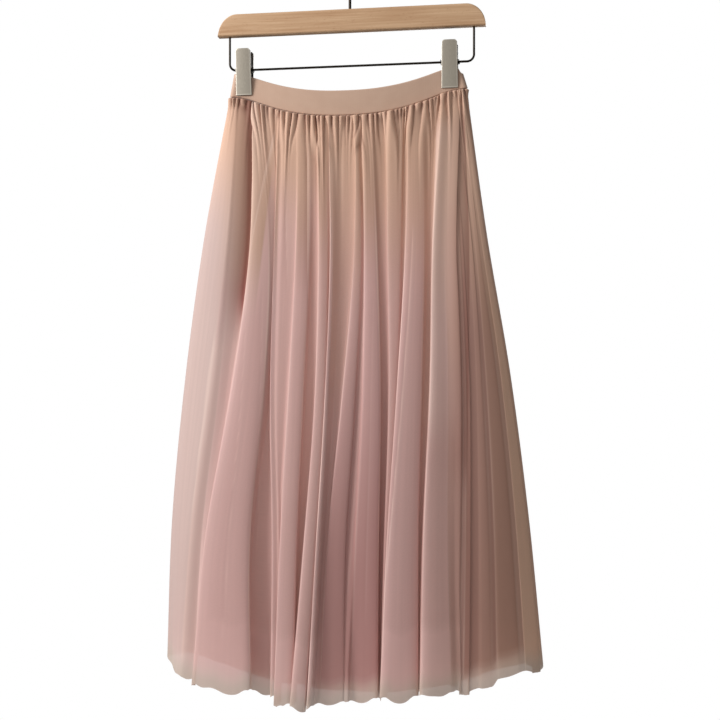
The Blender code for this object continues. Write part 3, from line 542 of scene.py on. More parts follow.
def tulleMaterial():
    # soft polyester tulle: a fine net of holes, so what lies under it shows through where it is single.
    # Doubled folds carry more thread: they are pinker and less see-through, and a folded edge is drawn as a
    # pale, denser line, partly doubled thread and partly a painted highlight. Hollows, creases and the gaps
    # between gathers are darkened with painted shade. the real holes are 1 mm: too fine to show, so they are
    # drawn as 4 mm streaks along the threads and 2 mm specks
    made, tree, shader = newMaterial("soft_polyester_tulle",
                                     {"Roughness": 0.62, "IOR": 1.5, "Specular IOR Level": 0.2,
                                      "Sheen Weight": 0.2, "Sheen Roughness": 0.4})
    uv = addNode(tree, "ShaderNodeUVMap", {"uv_map": "threads"})
    marks = {name: addNode(tree, "ShaderNodeAttribute", {"attribute_name": name})
             for name in ("layers", "edge", "deep", "rosy", "pale", "hem", "extra")}

    # colour: the net's own tan turning rosy; hollow: the painted shade colours, tan turning rosy
    colour, hollow = (addNode(tree, "ShaderNodeMix", {"data_type": "RGBA", 6: fromHex(fabricColours[first]),
                                                      7: fromHex(fabricColours[second])},
                              {0: (marks["rosy"], "Fac")})
                      for first, second in (("netTan", "netRosy"), ("paintedShadeTan", "paintedShadeRosy")))
    # each mark brings its colour over those before it, and deep brings the painted shade colour of the
    # hollows
    for mark, tone in (("pale", "netPale"), ("layers", "netLayered"), ("deep", None), ("edge", "netEdgeAndHighlight"),
                       ("hem", "netHem")):
        settings, links = {"data_type": "RGBA"}, {0: (marks[mark], "Fac"), 6: (colour, 2)}
        if tone:
            settings[7] = fromHex(fabricColours[tone])
        else:
            links[7] = (hollow, 2)
        colour = addNode(tree, "ShaderNodeMix", settings, links)
    stretched = addNode(tree, "ShaderNodeMapping", {"Scale": (240.0, 3.0, 1.0)}, {"Vector": (uv, "UV")})
    streaks = addNode(tree, "ShaderNodeTexNoise", {"Scale": 1.0, "Detail": 3.0, "Roughness": 0.55},
                      {"Vector": (stretched, "Vector")})
    specks = addNode(tree, "ShaderNodeTexNoise", {"Scale": 500.0, "Detail": 1.0}, {"Vector": (uv, "UV")})
    streakTone = addNode(tree, "ShaderNodeMapRange",
                         {"From Min": 0.3, "From Max": 0.7, "To Min": 0.98, "To Max": 1.02},
                         {"Value": (streaks, "Fac")})
    toned = addNode(tree, "ShaderNodeVectorMath", {"operation": "SCALE"},
                    {0: (colour, 2), "Scale": (streakTone, "Result")})
    tree.links.new(toned.outputs["Vector"], shader.inputs["Base Color"])
    cover = addNode(tree, "ShaderNodeMath",
                    {"operation": "MULTIPLY_ADD", 1: netLook["layers"], 2: netLook["opacity"]},
                    {0: (marks["layers"], "Fac")})
    for name in ("edge", "deep", "extra"):
        cover = addNode(tree, "ShaderNodeMath", {"operation": "MULTIPLY_ADD", 1: netLook[name]},
                        {0: (marks[name], "Fac"), 2: (cover, 0)})
    for pattern, name in ((streaks, "streaks"), (specks, "specks")):
        centred = addNode(tree, "ShaderNodeMath", {"operation": "SUBTRACT", 1: 0.5}, {0: (pattern, "Fac")})
        cover = addNode(tree, "ShaderNodeMath", {"operation": "MULTIPLY_ADD", 1: netLook[name]},
                        {0: (centred, 0), 2: (cover, 0)})
    cover = addNode(tree, "ShaderNodeMath", {"operation": "MINIMUM", 1: netLook["most"]}, {0: (cover, 0)})
    tree.links.new(cover.outputs[0], shader.inputs["Alpha"])
    through = addNode(tree, "ShaderNodeBsdfTranslucent", {}, {"Color": (toned, "Vector")})
    clear = addNode(tree, "ShaderNodeBsdfTransparent")
    soft = addNode(tree, "ShaderNodeMixShader", {}, {0: (cover, 0), 1: (clear, 0), 2: (through, 0)})
    both = addNode(tree, "ShaderNodeMixShader", {0: netLook["through"]}, {1: (shader, 0), 2: (soft, 0)})
    tree.links.new(both.outputs[0], tree.nodes["Material Output"].inputs["Surface"])
    return made


def liningMaterial():
    # woven polyester satin lining: opaque and smooth, with a soft shine down its folds and a faint 1.5 mm
    # slub
    made, tree, shader = newMaterial("woven_satin_lining",
                                     {"Roughness": 0.46, "IOR": 1.5, "Specular IOR Level": 0.3,
                                      "Sheen Weight": 0.15, "Sheen Roughness": 0.35})
    uv = addNode(tree, "ShaderNodeUVMap", {"uv_map": "threads"})
    stretched = addNode(tree, "ShaderNodeMapping", {"Scale": (650.0, 12.0, 1.0)}, {"Vector": (uv, "UV")})
    slub = addNode(tree, "ShaderNodeTexNoise", {"Scale": 1.0, "Detail": 2.0},
                   {"Vector": (stretched, "Vector")})
    tone = addNode(tree, "ShaderNodeMix", {"data_type": "RGBA", 6: fromHex(fabricColours["liningShade"]),
                                           7: fromHex(fabricColours["liningLight"])}, {0: (slub, "Fac")})
    tree.links.new(tone.outputs[2], shader.inputs["Base Color"])
    relief = addNode(tree, "ShaderNodeBump", {"Strength": 0.10, "Distance": 0.0003},
                     {"Height": (slub, "Fac")})
    tree.links.new(relief.outputs["Normal"], shader.inputs["Normal"])
    return made


def bandMaterial():
    # knitted cover over elastic: matte and smooth, with fine wales that run up its height. real ones are
    # 1.2 mm apart, too fine to show, so they are drawn 2.4 mm apart
    made, tree, shader = newMaterial("knitted_elastic_band",
                                     {"Roughness": 0.78, "IOR": 1.5, "Specular IOR Level": 0.25,
                                      "Sheen Weight": 0.35, "Sheen Roughness": 0.5})
    uv = addNode(tree, "ShaderNodeUVMap", {"uv_map": "threads"})
    wales = addNode(tree, "ShaderNodeTexWave", {"wave_type": "BANDS", "bands_direction": "X", "Scale": 130.0,
                                                "Distortion": 0.6, "Detail": 1.0}, {"Vector": (uv, "UV")})
    cloud = addNode(tree, "ShaderNodeTexNoise", {"Scale": 60.0, "Detail": 4.0}, {"Vector": (uv, "UV")})
    tone = addNode(tree, "ShaderNodeMix", {"data_type": "RGBA", 6: fromHex(fabricColours["bandShade"]),
                                           7: fromHex(fabricColours["band"])}, {0: (cloud, "Fac")})
    tree.links.new(tone.outputs[2], shader.inputs["Base Color"])
    relief = addNode(tree, "ShaderNodeBump", {"Strength": 0.12, "Distance": 0.0003},
                     {"Height": (wales, "Fac")})
    tree.links.new(relief.outputs["Normal"], shader.inputs["Normal"])
    return made


def beechMaterial():
    # sawn beech under clear satin lacquer: fine straight grain along the bar and short dark flecks 2 to 4
    # mm long
    made, tree, shader = newMaterial("lacquered_beech", {"Roughness": 0.42, "IOR": 1.5, "Coat Weight": 0.25,
                                                         "Coat Roughness": 0.25})
    place = addNode(tree, "ShaderNodeTexCoord")
    grainPlace = addNode(tree, "ShaderNodeMapping", {"Scale": (9.0, 160.0, 320.0)},
                         {"Vector": (place, "Object")})
    grain = addNode(tree, "ShaderNodeTexNoise",
                    {"Scale": 1.0, "Detail": 5.0, "Roughness": 0.6, "Distortion": 0.4},
                    {"Vector": (grainPlace, "Vector")})
    wood = addNode(tree, "ShaderNodeValToRGB", {}, {"Fac": (grain, "Fac")})
    ramp = wood.color_ramp.elements
    ramp[0].position, ramp[0].color = 0.30, fromHex("#AE8560")
    ramp[1].position, ramp[1].color = 0.70, fromHex("#CDAB88")
    fleckPlace = addNode(tree, "ShaderNodeMapping", {"Scale": (260.0, 900.0, 900.0)},
                         {"Vector": (place, "Object")})
    flecks = addNode(tree, "ShaderNodeTexNoise", {"Scale": 1.0, "Detail": 2.0},
                     {"Vector": (fleckPlace, "Vector")})
    fleckMask = addNode(tree, "ShaderNodeMapRange",
                        {"From Min": 0.64, "From Max": 0.74, "To Min": 0.0, "To Max": 0.5},
                        {"Value": (flecks, "Fac")})
    tone = addNode(tree, "ShaderNodeMix", {"data_type": "RGBA", 7: fromHex("#96683F")},
                   {0: (fleckMask, "Result"), 6: (wood, "Color")})
    tree.links.new(tone.outputs[2], shader.inputs["Base Color"])
    relief = addNode(tree, "ShaderNodeBump", {"Strength": 0.12, "Distance": 0.0002},
                     {"Height": (grain, "Fac")})
    tree.links.new(relief.outputs["Normal"], shader.inputs["Normal"])
    return made


def wireMaterial():
    # drawn steel wire, blackened: near black with a tight gloss along its length and slight rubbed patches
    made, tree, shader = newMaterial("blackened_steel_wire", {"Metallic": 1.0, "Roughness": 0.34})
    place = addNode(tree, "ShaderNodeTexCoord")
    patches = addNode(tree, "ShaderNodeTexNoise", {"Scale": 140.0, "Detail": 4.0},
                      {"Vector": (place, "Object")})
    tone = addNode(tree, "ShaderNodeMix", {"data_type": "RGBA", 6: fromHex("#1E1B18"), 7: fromHex("#3A352F")},
                   {0: (patches, "Fac")})
    tree.links.new(tone.outputs[2], shader.inputs["Base Color"])
    rough = addNode(tree, "ShaderNodeMapRange", {"To Min": 0.26, "To Max": 0.46}, {"Value": (patches, "Fac")})
    tree.links.new(rough.outputs["Result"], shader.inputs["Roughness"])
    return made


def plateMaterial():
    # pressed steel plate, brushed along its length and nickel plated: soft streaks and a warm grey, with a
    # bright painted highlight line near its edges
    made, tree, shader = newMaterial("brushed_nickel_plate", {"Metallic": 1.0, "Roughness": 0.38})
    place = addNode(tree, "ShaderNodeTexCoord")
    lines = addNode(tree, "ShaderNodeMapping", {"Scale": (2200.0, 2200.0, 18.0)},
                    {"Vector": (place, "Object")})
    brushed = addNode(tree, "ShaderNodeTexNoise", {"Scale": 1.0, "Detail": 3.0},
                      {"Vector": (lines, "Vector")})
    tone = addNode(tree, "ShaderNodeMix", {"data_type": "RGBA", 6: fromHex("#A9A296"), 7: fromHex("#C9C2B5")},
                   {0: (brushed, "Fac")})
    # a painted highlight: a bright line a little in from the plate's edges
    paintedEdgeHighlight = addNode(tree, "ShaderNodeAttribute", {"attribute_name": "paintedEdgeHighlight"})
    tone = addNode(tree, "ShaderNodeMix", {"data_type": "RGBA", 7: fromHex("#DFD9CD")},
                   {0: (paintedEdgeHighlight, "Fac"), 6: (tone, 2)})
    tree.links.new(tone.outputs[2], shader.inputs["Base Color"])
    rough = addNode(tree, "ShaderNodeMapRange", {"To Min": 0.30, "To Max": 0.50}, {"Value": (brushed, "Fac")})
    tree.links.new(rough.outputs["Result"], shader.inputs["Roughness"])
    relief = addNode(tree, "ShaderNodeBump", {"Strength": 0.05, "Distance": 0.0001},
                     {"Height": (brushed, "Fac")})
    tree.links.new(relief.outputs["Normal"], shader.inputs["Normal"])
    return made


tulle = tulleMaterial()
satin = liningMaterial()
knit = bandMaterial()
beech = beechMaterial()
wire = wireMaterial()
nickel = plateMaterial()
print("materials made")


# the skirt

# small creases of the front, drawn only as painted highlight and painted shade: where they run at the five
# levels in mm, the shares of the way down where they start and end, how bright is the painted highlight on
# one side, how dark the painted shade on the other, and how wide the shade and the highlight are in mm
creaseColumns = ("waist", "hip", "thigh", "calf", "hem", "start", "end", "light", "dark", "darkWidth",
                 "lightWidth")
frontCreases = (
    (-130, -131, -151, -184, -197, -0.10, 0.42, 0.3, 1.50, 13, 12),
    (-163, -163, -184, -206, -218, 0.40, 1.20, 0.40, 0.0, 4, 16),
    (151, 160, 160, 157, 154, 0.02, 0.70, 0.0, 0.75, 14, 1),
    (-94, -129, -151, -184, -197, 0.02, 0.34, 0.45, 0.25, 6, 2),
    (-107, -101, -92, -84, -84, 0.12, 0.42, 0.15, 0.20, 4, 1),
    (-88, -80, -74, -70, -70, 0.10, 0.34, 0.20, 0.30, 4, 1),
    (-54, -52, -46, -40, -40, 0.04, 0.36, 0.35, 0.60, 4, 1),
    (-26, -26, -26, -35, -43, 0.05, 0.30, 0.25, 0.00, 4, 12),
    (22, 22, 18, 8, 0, 0.10, 0.85, 0.25, 0.15, 4, 1),
    (88, 86, 76, 60, 46, 0.20, 0.84, 0.45, 0.25, 4, 1),
    (-24, -24, -22, -30, -30, 0.02, 0.20, 0.15, 0.25, 4, 1),
    (-94, -110, -112, -118, -126, 0.30, 0.80, 0.12, 0.10, 8, 1),
    (-120, -130, -136, -150, -160, 0.34, 0.95, 0.15, 0.08, 8, 1),
    (34, 36, 34, 30, 26, 0.30, 0.90, 0.10, 0.08, 6, 1),
    (118, 113, 111, 104, 102, 0.03, 0.62, 0.50, 0.00, 4, 16),
)


# how sharply a crease begins across, and over what shares of the way down it fades in and out
creaseLook = {"sharp": 0.0012, "fadeIn": 0.05, "fadeOut": 0.10}


def creaseMarks(creases, x, down):
    # along each crease, a painted highlight that falls off to its right and painted shade that falls off to
    # its left, each as e to the power of minus distance / width
    light, dark = np.zeros_like(x), np.zeros_like(x)
    for row in creases:
        crease = dict(zip(creaseColumns, row))
        away = x - (alongLevels([crease[level] for level in levels], down) * mm)[:, None]
        shown = smoothStep(crease["start"], crease["start"] + creaseLook["fadeIn"], down)
        shown = (shown * smoothStep(crease["end"], crease["end"] - creaseLook["fadeOut"], down))[:, None]
        lit = np.exp(-np.clip(away, 0, 1) / (crease["lightWidth"] * mm))
        lit = lit * smoothStep(-creaseLook["sharp"], 0.0, away)
        light = np.maximum(light, crease["light"] * shown * lit)
        beside = np.exp(-np.clip(-away, 0, 1) / (crease["darkWidth"] * mm))
        beside = beside * smoothStep(0.0, creaseLook["sharp"], -away)
        dark = np.maximum(dark, crease["dark"] * shown * beside)
    return light, dark


# how a fold's marks come in down the cloth. lower and sooner: the shares of the way down where the painted
# shade of whole hollows and crests comes in, sooner for folds right of soonerFrom (mm); softer: how much the
# painted shade lines fade from softerFrom to the hem; grow, turn and lineFrom: where layers and the bright
# line of painted highlight come in around apex, and the hollow's layers around rosyFrom; line: width in
# metres, least strength and waves of the bright painted highlight line; past: strength and width of the
# painted shade right of one; sharp, crestSoft, hollowSoft: how sharp all these start across
foldLook = {"lower": (0.18, 0.80), "sooner": (0.10, 0.45), "soonerFrom": 125, "softer": 0.6,
            "softerFrom": 0.70, "grow": (-0.03, 0.14), "turn": (-0.08, 0.08), "hollowLayers": 0.8,
            "lineFrom": (-0.10, 0.05), "lineWidth": 0.0010, "lineLeast": 0.65, "waver": 2.3,
            "waverStep": 0.37, "past": 0.5, "pastWidth": 0.006, "sharp": 0.0015,
            "crestSoft": (-0.0010, 0.0008), "hollowSoft": (-0.0008, 0.0010)}


def foldMarks(folds, arc, guideArc, down, first):
    # layers: how many more layers of net lie at each point. edge: a light line along both sides of a crest:
    # doubled thread with a painted highlight. deep: painted shade, strongest beside the edge that lies over a
    # hollow, over whole hollows and on dim crests.
    # first is the number of the guide point at the first fold's left edge, and each fold has four
    layers, edge, deep = np.zeros_like(arc), np.zeros_like(arc), np.zeros_like(arc)
    lower = smoothStep(*foldLook["lower"], down)[:, None]
    sooner = smoothStep(*foldLook["sooner"], down)[:, None]
    softer = 1 - foldLook["softer"] * smoothStep(foldLook["softerFrom"], 1.0, down)[:, None]
    for i, row in enumerate(folds):
        fold = dict(zip(foldColumns, row))
        before, left, right = (guideArc[:, max(first + 4 * i + k, 1)][:, None] for k in (-3, 0, 1))
        grow = smoothStep(*(fold["apex"] + k for k in foldLook["grow"]), down)[:, None]
        turn = smoothStep(*(fold["rosyFrom"] + k for k in foldLook["turn"]), down)[:, None]
        soft = foldLook["crestSoft"]
        inside = smoothStep(*soft, arc - left) * smoothStep(*soft, right - arc)
        soft = foldLook["hollowSoft"]
        hollow = smoothStep(*soft, arc - before) * smoothStep(*soft, left - arc)
        doubled = inside * grow + foldLook["hollowLayers"] * hollow * turn
        layers = np.maximum(layers, fold["layers"] * doubled)
        phase = 2 * np.pi * (foldLook["waver"] * down + foldLook["waverStep"] * i)
        waver = foldLook["lineLeast"] + (1 - foldLook["lineLeast"]) * np.sin(phase)
        line = (smoothStep(*(fold["apex"] + k for k in foldLook["lineFrom"]), down) * waver)[:, None]
        edge = np.maximum(edge, line * (fold["leftLine"] * bump(arc - left, foldLook["lineWidth"])
                                        + fold["rightLine"] * bump(arc - right, foldLook["lineWidth"])))
        under = fold["shade"] * np.exp(-np.clip(left - arc, 0, 1) / (fold["shadeWidth"] * mm))
        under = under * smoothStep(0.0, foldLook["sharp"], left - arc)
        past = np.exp(-np.clip(arc - right, 0, 1) / foldLook["pastWidth"])
        past = foldLook["past"] * fold["rightLine"] * past * smoothStep(0.0, foldLook["sharp"], arc - right)
        whole = fold["hollowShade"] * hollow + fold["crestShade"] * inside
        whole = (sooner if fold["waist"] > foldLook["soonerFrom"] else lower) * whole
        deep = np.maximum(deep, whole + np.maximum(under, past) * softer * (1 - whole))
    return layers, edge, np.clip(deep, 0, 1)


# the hem. waves: their lengths, height as a share of the length, range of heights, and share of the way
# down where they come in; corner and cornerWidth: how much shorter the net hangs at the corners of folds
# over broad mm wide; pale and full: the heights above the hem (none, all) where it turns pale and where it
# is more opaque; rim: how much more opaque is its raw edge; edgeLost: how much of a fold's bright line of
# painted highlight is lost there; seedStep: what its random seed adds to the gathers'
hemLook = {"waves": (0.110, 0.062, 0.034), "waveHeight": 0.035, "uneven": (0.4, 1.0), "wavesFrom": 0.85,
           "corner": 0.006, "cornerWidth": 0.008, "broad": 24, "pale": (0.034, 0.002), "paleMost": 0.85,
           "full": (0.095, 0.050), "rim": 0.5, "rimWidth": 0.0012, "edgeLost": 0.6, "seedStep": 50}
# the tone of the net: where each change comes in (from, to), as shares of the way down, or in metres
# across, from the side seam (ends) or from the middle (the others). tan: single, less rosy net left of a
# slanting line, which runs from tanLine's first place at the waist to its second at the hem
# deepDown: where the painted shade comes in; lowShade and lowDown: how much painted shade darkens the net
# towards the hem, and where
netTone = {"deepDown": (-0.02, 0.10), "lowShade": 0.07, "lowDown": (0.55, 0.95), "ends": (0.120, 0.060),
           "dense": 0.85, "denseDown": (0.30, 0.04), "rosyDown": (0.05, 0.36), "rosyAcross": (0.20, 0.08),
           "tanLine": (-0.094, -0.166), "tanSharp": 0.0015, "tanDown": (0.40, 0.24), "tanRosy": 0.8,
           "paleAcross": (-0.120, -0.185), "paleDown": (0.04, 0.26)}


def hangCloth(shaped, flat, arc, fall):
    # every point hangs its own fall below the seam. uv: distance along the middle row, and the fall
    seam = seamHeight(flat[0, :, 0]) - tubeForm["seamGap"]
    points = np.concatenate([shaped, (seam[None, :] - fall)[..., None]], axis=2)
    return points, np.stack([np.broadcast_to(arc[len(arc) // 2], arc.shape), -fall], axis=2)


def netPanel(name, flat, drop, arc, guideArc, folds, down, side, seed):
    # one panel of net: the folded section at every row, with gathers, small creases on the front drawn as
    # painted highlight and shade, and a raw wavy hem. the hem is a sum of sines, and folds that stand out
    # hang shorter than the hollows between them
    shaped, gatherShade = gatherTop(net, flat, arc, down, side, seed)
    random = np.random.default_rng(seed + hemLook["seedStep"])
    hemArc, hemX = arc[-1], flat[-1, :, 0]
    first = 2 if side < 0 else 4
    waves = sum(random.uniform(*hemLook["uneven"]) * length
                * np.sin(2 * np.pi * (hemArc / length + random.uniform()))
                for length in hemLook["waves"]) * hemLook["waveHeight"]
    broad = [first + 4 * i + k for i, row in enumerate(folds)
             if row[foldColumns.index("widthHem")] >= hemLook["broad"] for k in (-1, 0, 1, 2)]
    fromCorner = hemX[:, None] - np.interp(guideArc[-1, broad], hemArc, hemX)[None, :]
    corners = bump(fromCorner, hemLook["cornerWidth"]).max(axis=1)
    oval, _ = envelope(net, flat[..., 0], down)
    outermost = oval[-1] * (net["hollow"][1] + net["fold"][1])
    shorter = net["level"] * (np.abs(flat[-1, :, 1]) - outermost)
    fall = down[:, None] * (net["length"] + drop[None, :])
    lower = smoothStep(hemLook["wavesFrom"], 1.0, down)[:, None]
    fall = fall + (waves - shorter - hemLook["corner"] * corners)[None, :] * lower
    points, uv = hangCloth(shaped, flat, arc, fall)

    # layers: doubled net; edge: folded edges, doubled thread with a painted highlight; deep: painted shade
    layers, edge, deep = foldMarks(folds, arc, guideArc, down, first)
    # painted shade comes in below the waist, and a little more darkens the net towards the hem
    deep = deep * smoothStep(*netTone["deepDown"], down)[:, None]
    deep = deep + netTone["lowShade"] * smoothStep(*netTone["lowDown"], down)[:, None]
    # the creases add their painted highlight to edge and their painted shade to deep
    if side < 0:
        light, dark = creaseMarks(frontCreases, flat[..., 0], down)
        edge, deep = np.maximum(edge, light), deep + dark * (1 - deep)
    # the gathers' painted shade joins deep
    deep = np.clip(deep + gatherShade, 0, 1)
    fromHem = fall[-1:] - fall
    hem, full = smoothStep(*hemLook["pale"], fromHem), smoothStep(*hemLook["full"], fromHem)
    ends = smoothStep(*netTone["ends"], np.minimum(arc, arc[:, -1:] - arc))
    dense = netTone["dense"] * smoothStep(*netTone["denseDown"], down)[:, None]
    rosy = smoothStep(*netTone["rosyDown"], down)[:, None] * smoothStep(*netTone["rosyAcross"], flat[..., 0])
    tan = smoothStep(netTone["tanSharp"], -netTone["tanSharp"],
                     flat[..., 0] - between(*netTone["tanLine"], down)[:, None])
    tan = tan * smoothStep(*netTone["tanDown"], down)[:, None]
    layers, rosy = layers * (1 - tan), rosy * (1 - netTone["tanRosy"] * tan)
    pale = smoothStep(*netTone["paleAcross"], flat[..., 0]) * smoothStep(*netTone["paleDown"], down)[:, None]
    rim = hemLook["rim"] * bump(fromHem, hemLook["rimWidth"])
    marks = {"layers": layers, "edge": edge * (1 - hemLook["edgeLost"] * hem), "deep": deep * (1 - hem),
             "rosy": rosy, "pale": pale, "hem": hem * hemLook["paleMost"],
             "extra": np.maximum(np.maximum(full, ends), dense) + rim}
    return makeMesh(name, points, gridFaces(*arc.shape)[:, ::-1], tulle, uv, marks)


def liningPanel(name, flat, drop, arc, down, side, seed):
    # one panel of lining: broad waves, a quarter of the net's gathers at the seam, and a straight hem
    shaped, _ = gatherTop(lining, flat, arc, down, side, seed, lining["gathers"])
    shaped[..., 1] -= side * lining["clearance"]
    points, uv = hangCloth(shaped, flat, arc, down[:, None] * (lining["length"] + drop[None, :]))
    return makeMesh(name, points, gridFaces(*arc.shape)[:, ::-1], satin, uv)


netDown = rowShares(net["length"])
netFlat, netDrop, netTurn = tubeSections(frontFolds, backFolds, net, netDown)
frontParts = pickColumns(netFlat, netDrop, 0, netTurn, net["frontColumns"])
backParts = pickColumns(netFlat, netDrop, netTurn, netFlat.shape[1], net["backColumns"])
netFront = netPanel("netFront", *frontParts, frontFolds, netDown, side=-1, seed=11)
netBack = netPanel("netBack", *backParts, backFolds[::-1], netDown, side=1, seed=12)
finish(netFront, "tulle_front")
finish(netBack, "tulle_back")

# the lining is smoother, so it has every second row
liningDown = rowShares(lining["length"])[::2]
liningDown[-1] = 1.0
liningFlat, liningDrop, liningTurn = tubeSections(liningFolds, liningFolds, lining, liningDown)
liningAhead = pickColumns(liningFlat, liningDrop, 0, liningTurn, lining["columns"])
liningBehind = pickColumns(liningFlat, liningDrop, liningTurn, liningFlat.shape[1], lining["columns"])
liningFront = liningPanel("liningFront", *liningAhead[:3], liningDown, side=-1, seed=21)
liningBack = liningPanel("liningBack", *liningBehind[:3], liningDown, side=1, seed=22)
finish(liningFront, "lining_front")
finish(liningBack, "lining_back")
print("net and lining made")


# the waistband

# wall: its thickness; edge: how far its rounded edges stand up; tall: its height along the cloth; lean: how
# far its ends lean inwards at the top, and where (from, to); path: x and half its depth in mm along the
# front
band = {"wall": 0.0024, "edge": 0.0011, "tall": 0.031, "columns": 180, "rows": 20, "roundSteps": 7,
        "lean": 0.0055, "leanRight": (0.120, 0.155), "leanLeft": (-0.130, -0.163),
        "path": ((-163.0, 0.0), (-160.5, 2.0), (-154.0, 1.5), (-144.0, 1.5), (-134.0, 1.5), (-95.0, 4.8),
                 (-50.0, 7.6), (-5.0, 8.4), (40.0, 7.6), (85.0, 4.8), (123.0, 1.5), (133.0, 1.5),
                 (143.0, 1.5), (152.5, 2.0), (155.0, 0.0))}


def waistBand():
    # a closed loop of path points, with a rounded upright section carried round it: level is the share of
    # the height, out how far it stands from the path, past how far it rises beyond the straight part
    path = np.array(band["path"]) * mm
    dense = closedCurve(np.concatenate([path * (1, -1), path[-2:0:-1]])[None])[0][0]
    gaps = np.linalg.norm(np.diff(dense, axis=0, append=dense[:1]), axis=1)
    length = np.concatenate([[0], np.cumsum(gaps)])
    columns = 2 * band["columns"]
    wanted = np.linspace(0, length[-1], columns, endpoint=False)
    closed = np.concatenate([dense, dense[:1]])
    middle = np.stack([np.interp(wanted, length, closed[:, k]) for k in (0, 1)], axis=1)
    run = np.roll(middle, -1, axis=0) - np.roll(middle, 1, axis=0)
    run /= np.linalg.norm(run, axis=1, keepdims=True)
    outward = np.stack([run[:, 1], -run[:, 0]], axis=1)
    low, high = seamHeight(middle[:, 0]), bandTopHeight(middle[:, 0])
    # section: up the outside, round the top edge, down the inside, round the lower edge
    half, edge = band["wall"] / 2, band["edge"]
    turn = np.linspace(0, np.pi, band["roundSteps"])[1:-1]
    straight, level = np.ones(band["rows"]), np.linspace(0, 1, band["rows"])
    out = np.concatenate([half * straight, half * np.cos(turn), -half * straight, -half * np.cos(turn)])
    level = np.concatenate([level, np.ones_like(turn), level[::-1], np.zeros_like(turn)])
    past = np.concatenate([0 * straight, edge * np.sin(turn), 0 * straight, -edge * np.sin(turn)])
    z = (low + edge)[None, :] + (high - low - 2 * edge)[None, :] * level[:, None] + past[:, None]
    flat = middle[None] + outward[None] * out[:, None, None]
    ends = smoothStep(*band["leanRight"], middle[:, 0]) - smoothStep(*band["leanLeft"], middle[:, 0])
    flat[..., 0] -= band["lean"] * level[:, None] * ends[None, :]
    points = np.concatenate([flat, z[..., None]], axis=2)
    around = np.concatenate([[0], np.cumsum(np.hypot(np.diff(out), np.diff(level) * band["tall"]))])
    uv = np.stack(np.broadcast_arrays(wanted[None, :], around[:, None]), axis=2)
    faces = gridFaces(len(out), columns, closedRows=True, closedColumns=True)
    return makeMesh("waistBand", points, faces, knit, uv)


waistBandPiece = waistBand()
finish(waistBandPiece, "waistband")
print("waistband made")


# the hanger

# shoulder: how far from its ends the bar's top starts to fall; edge: radius of its long edges, and edgeShare
# the most of half the height that it takes; least: the height at the very end; endInset: how much thinner
# the last section is
bar = {"length": 0.360, "height": 0.030, "depth": 0.012, "shoulder": 0.026, "edge": 0.0026, "least": 0.0006,
       "endInset": 0.001, "edgeShare": 0.98, "columns": 200, "sides": 48}


def hangerBar():
    # rounded-rectangle sections carried along the bar; its top edge falls as a quarter ellipse at both ends
    half = bar["length"] / 2
    x = half * np.sin(np.linspace(-np.pi / 2, np.pi / 2, bar["columns"]))
    into = np.clip((np.abs(x) - half + bar["shoulder"]) / bar["shoulder"], 0, 1)
    crown = barUnder + bar["height"] * np.sqrt(np.clip(1 - into ** 2, 0, 1))
    crown = np.maximum(crown, barUnder + bar["least"])
    tall, deep = (crown - barUnder) / 2, np.full_like(x, bar["depth"] / 2)
    edge = np.minimum(bar["edge"], tall * bar["edgeShare"])
    deep[[0, -1]] -= bar["endInset"]
    corner = np.repeat(np.arange(4), bar["sides"] // 4)
    angle = np.tile(np.linspace(0, np.pi / 2, bar["sides"] // 4), 4) + corner * np.pi / 2
    signY = np.array([1, -1, -1, 1])[corner]
    signZ = np.array([1, 1, -1, -1])[corner]
    y = signY * (deep - edge)[:, None] + edge[:, None] * np.cos(angle)
    z = ((crown + barUnder) / 2)[:, None] + signZ * (tall - edge)[:, None] + edge[:, None] * np.sin(angle)
    points = np.stack([np.broadcast_to(x[:, None], y.shape), y, z], axis=2)
    ring = np.arange(y.shape[1])
    return makeMesh("beechBar", points, gridFaces(*y.shape, closedColumns=True), beech,
                    caps=(ring[::-1], ring + y.size - len(ring)))


finish(hangerBar(), "hanger_bar")

# bend: radius between stem and crook; into: how far wires reach into the bar; taper: the last rings of the
# tip
hook = {"wire": 0.0038, "radius": 0.021, "bend": 0.012, "tipDeg": 206.0, "into": 0.010, "sides": 20,
        "taper": (0.95, 0.8, 0.55, 0.05), "stemPoints": 12, "bendSteps": 16, "crookSteps": 90}


def hangerHook():
    # stem, a short bend to the right and a crook back over the middle, its tip rounded off
    crook = (0.0, -(hook["radius"] - hook["wire"] / 2))
    fall = math.sqrt(hook["radius"] ** 2 + 2 * hook["radius"] * hook["bend"])
    bend = (hook["bend"], crook[1] - fall)
    meet = math.degrees(math.atan2(fall, -hook["bend"]))
    stem = np.linspace(barHigh[2] - hook["into"], bend[1], hook["stemPoints"])[:-1]
    route = np.concatenate([np.stack([0 * stem, 0 * stem, stem], axis=1),
                            arcPoints(bend, hook["bend"], 180, meet, hook["bendSteps"]),
                            arcPoints(crook, hook["radius"], meet - 180, hook["tipDeg"],
                                      hook["crookSteps"])[1:]])
    taper = np.ones(len(route))
    taper[-len(hook["taper"]):] = hook["taper"]
    return tube("wireHook", route, hook["wire"] / 2, hook["sides"], taper)


rail = {"wire": 0.003, "span": 0.329, "drop": 0.045, "corner": 0.009, "into": 0.010, "sides": 16,
        "legPoints": 12, "runPoints": 60, "cornerSteps": 14}


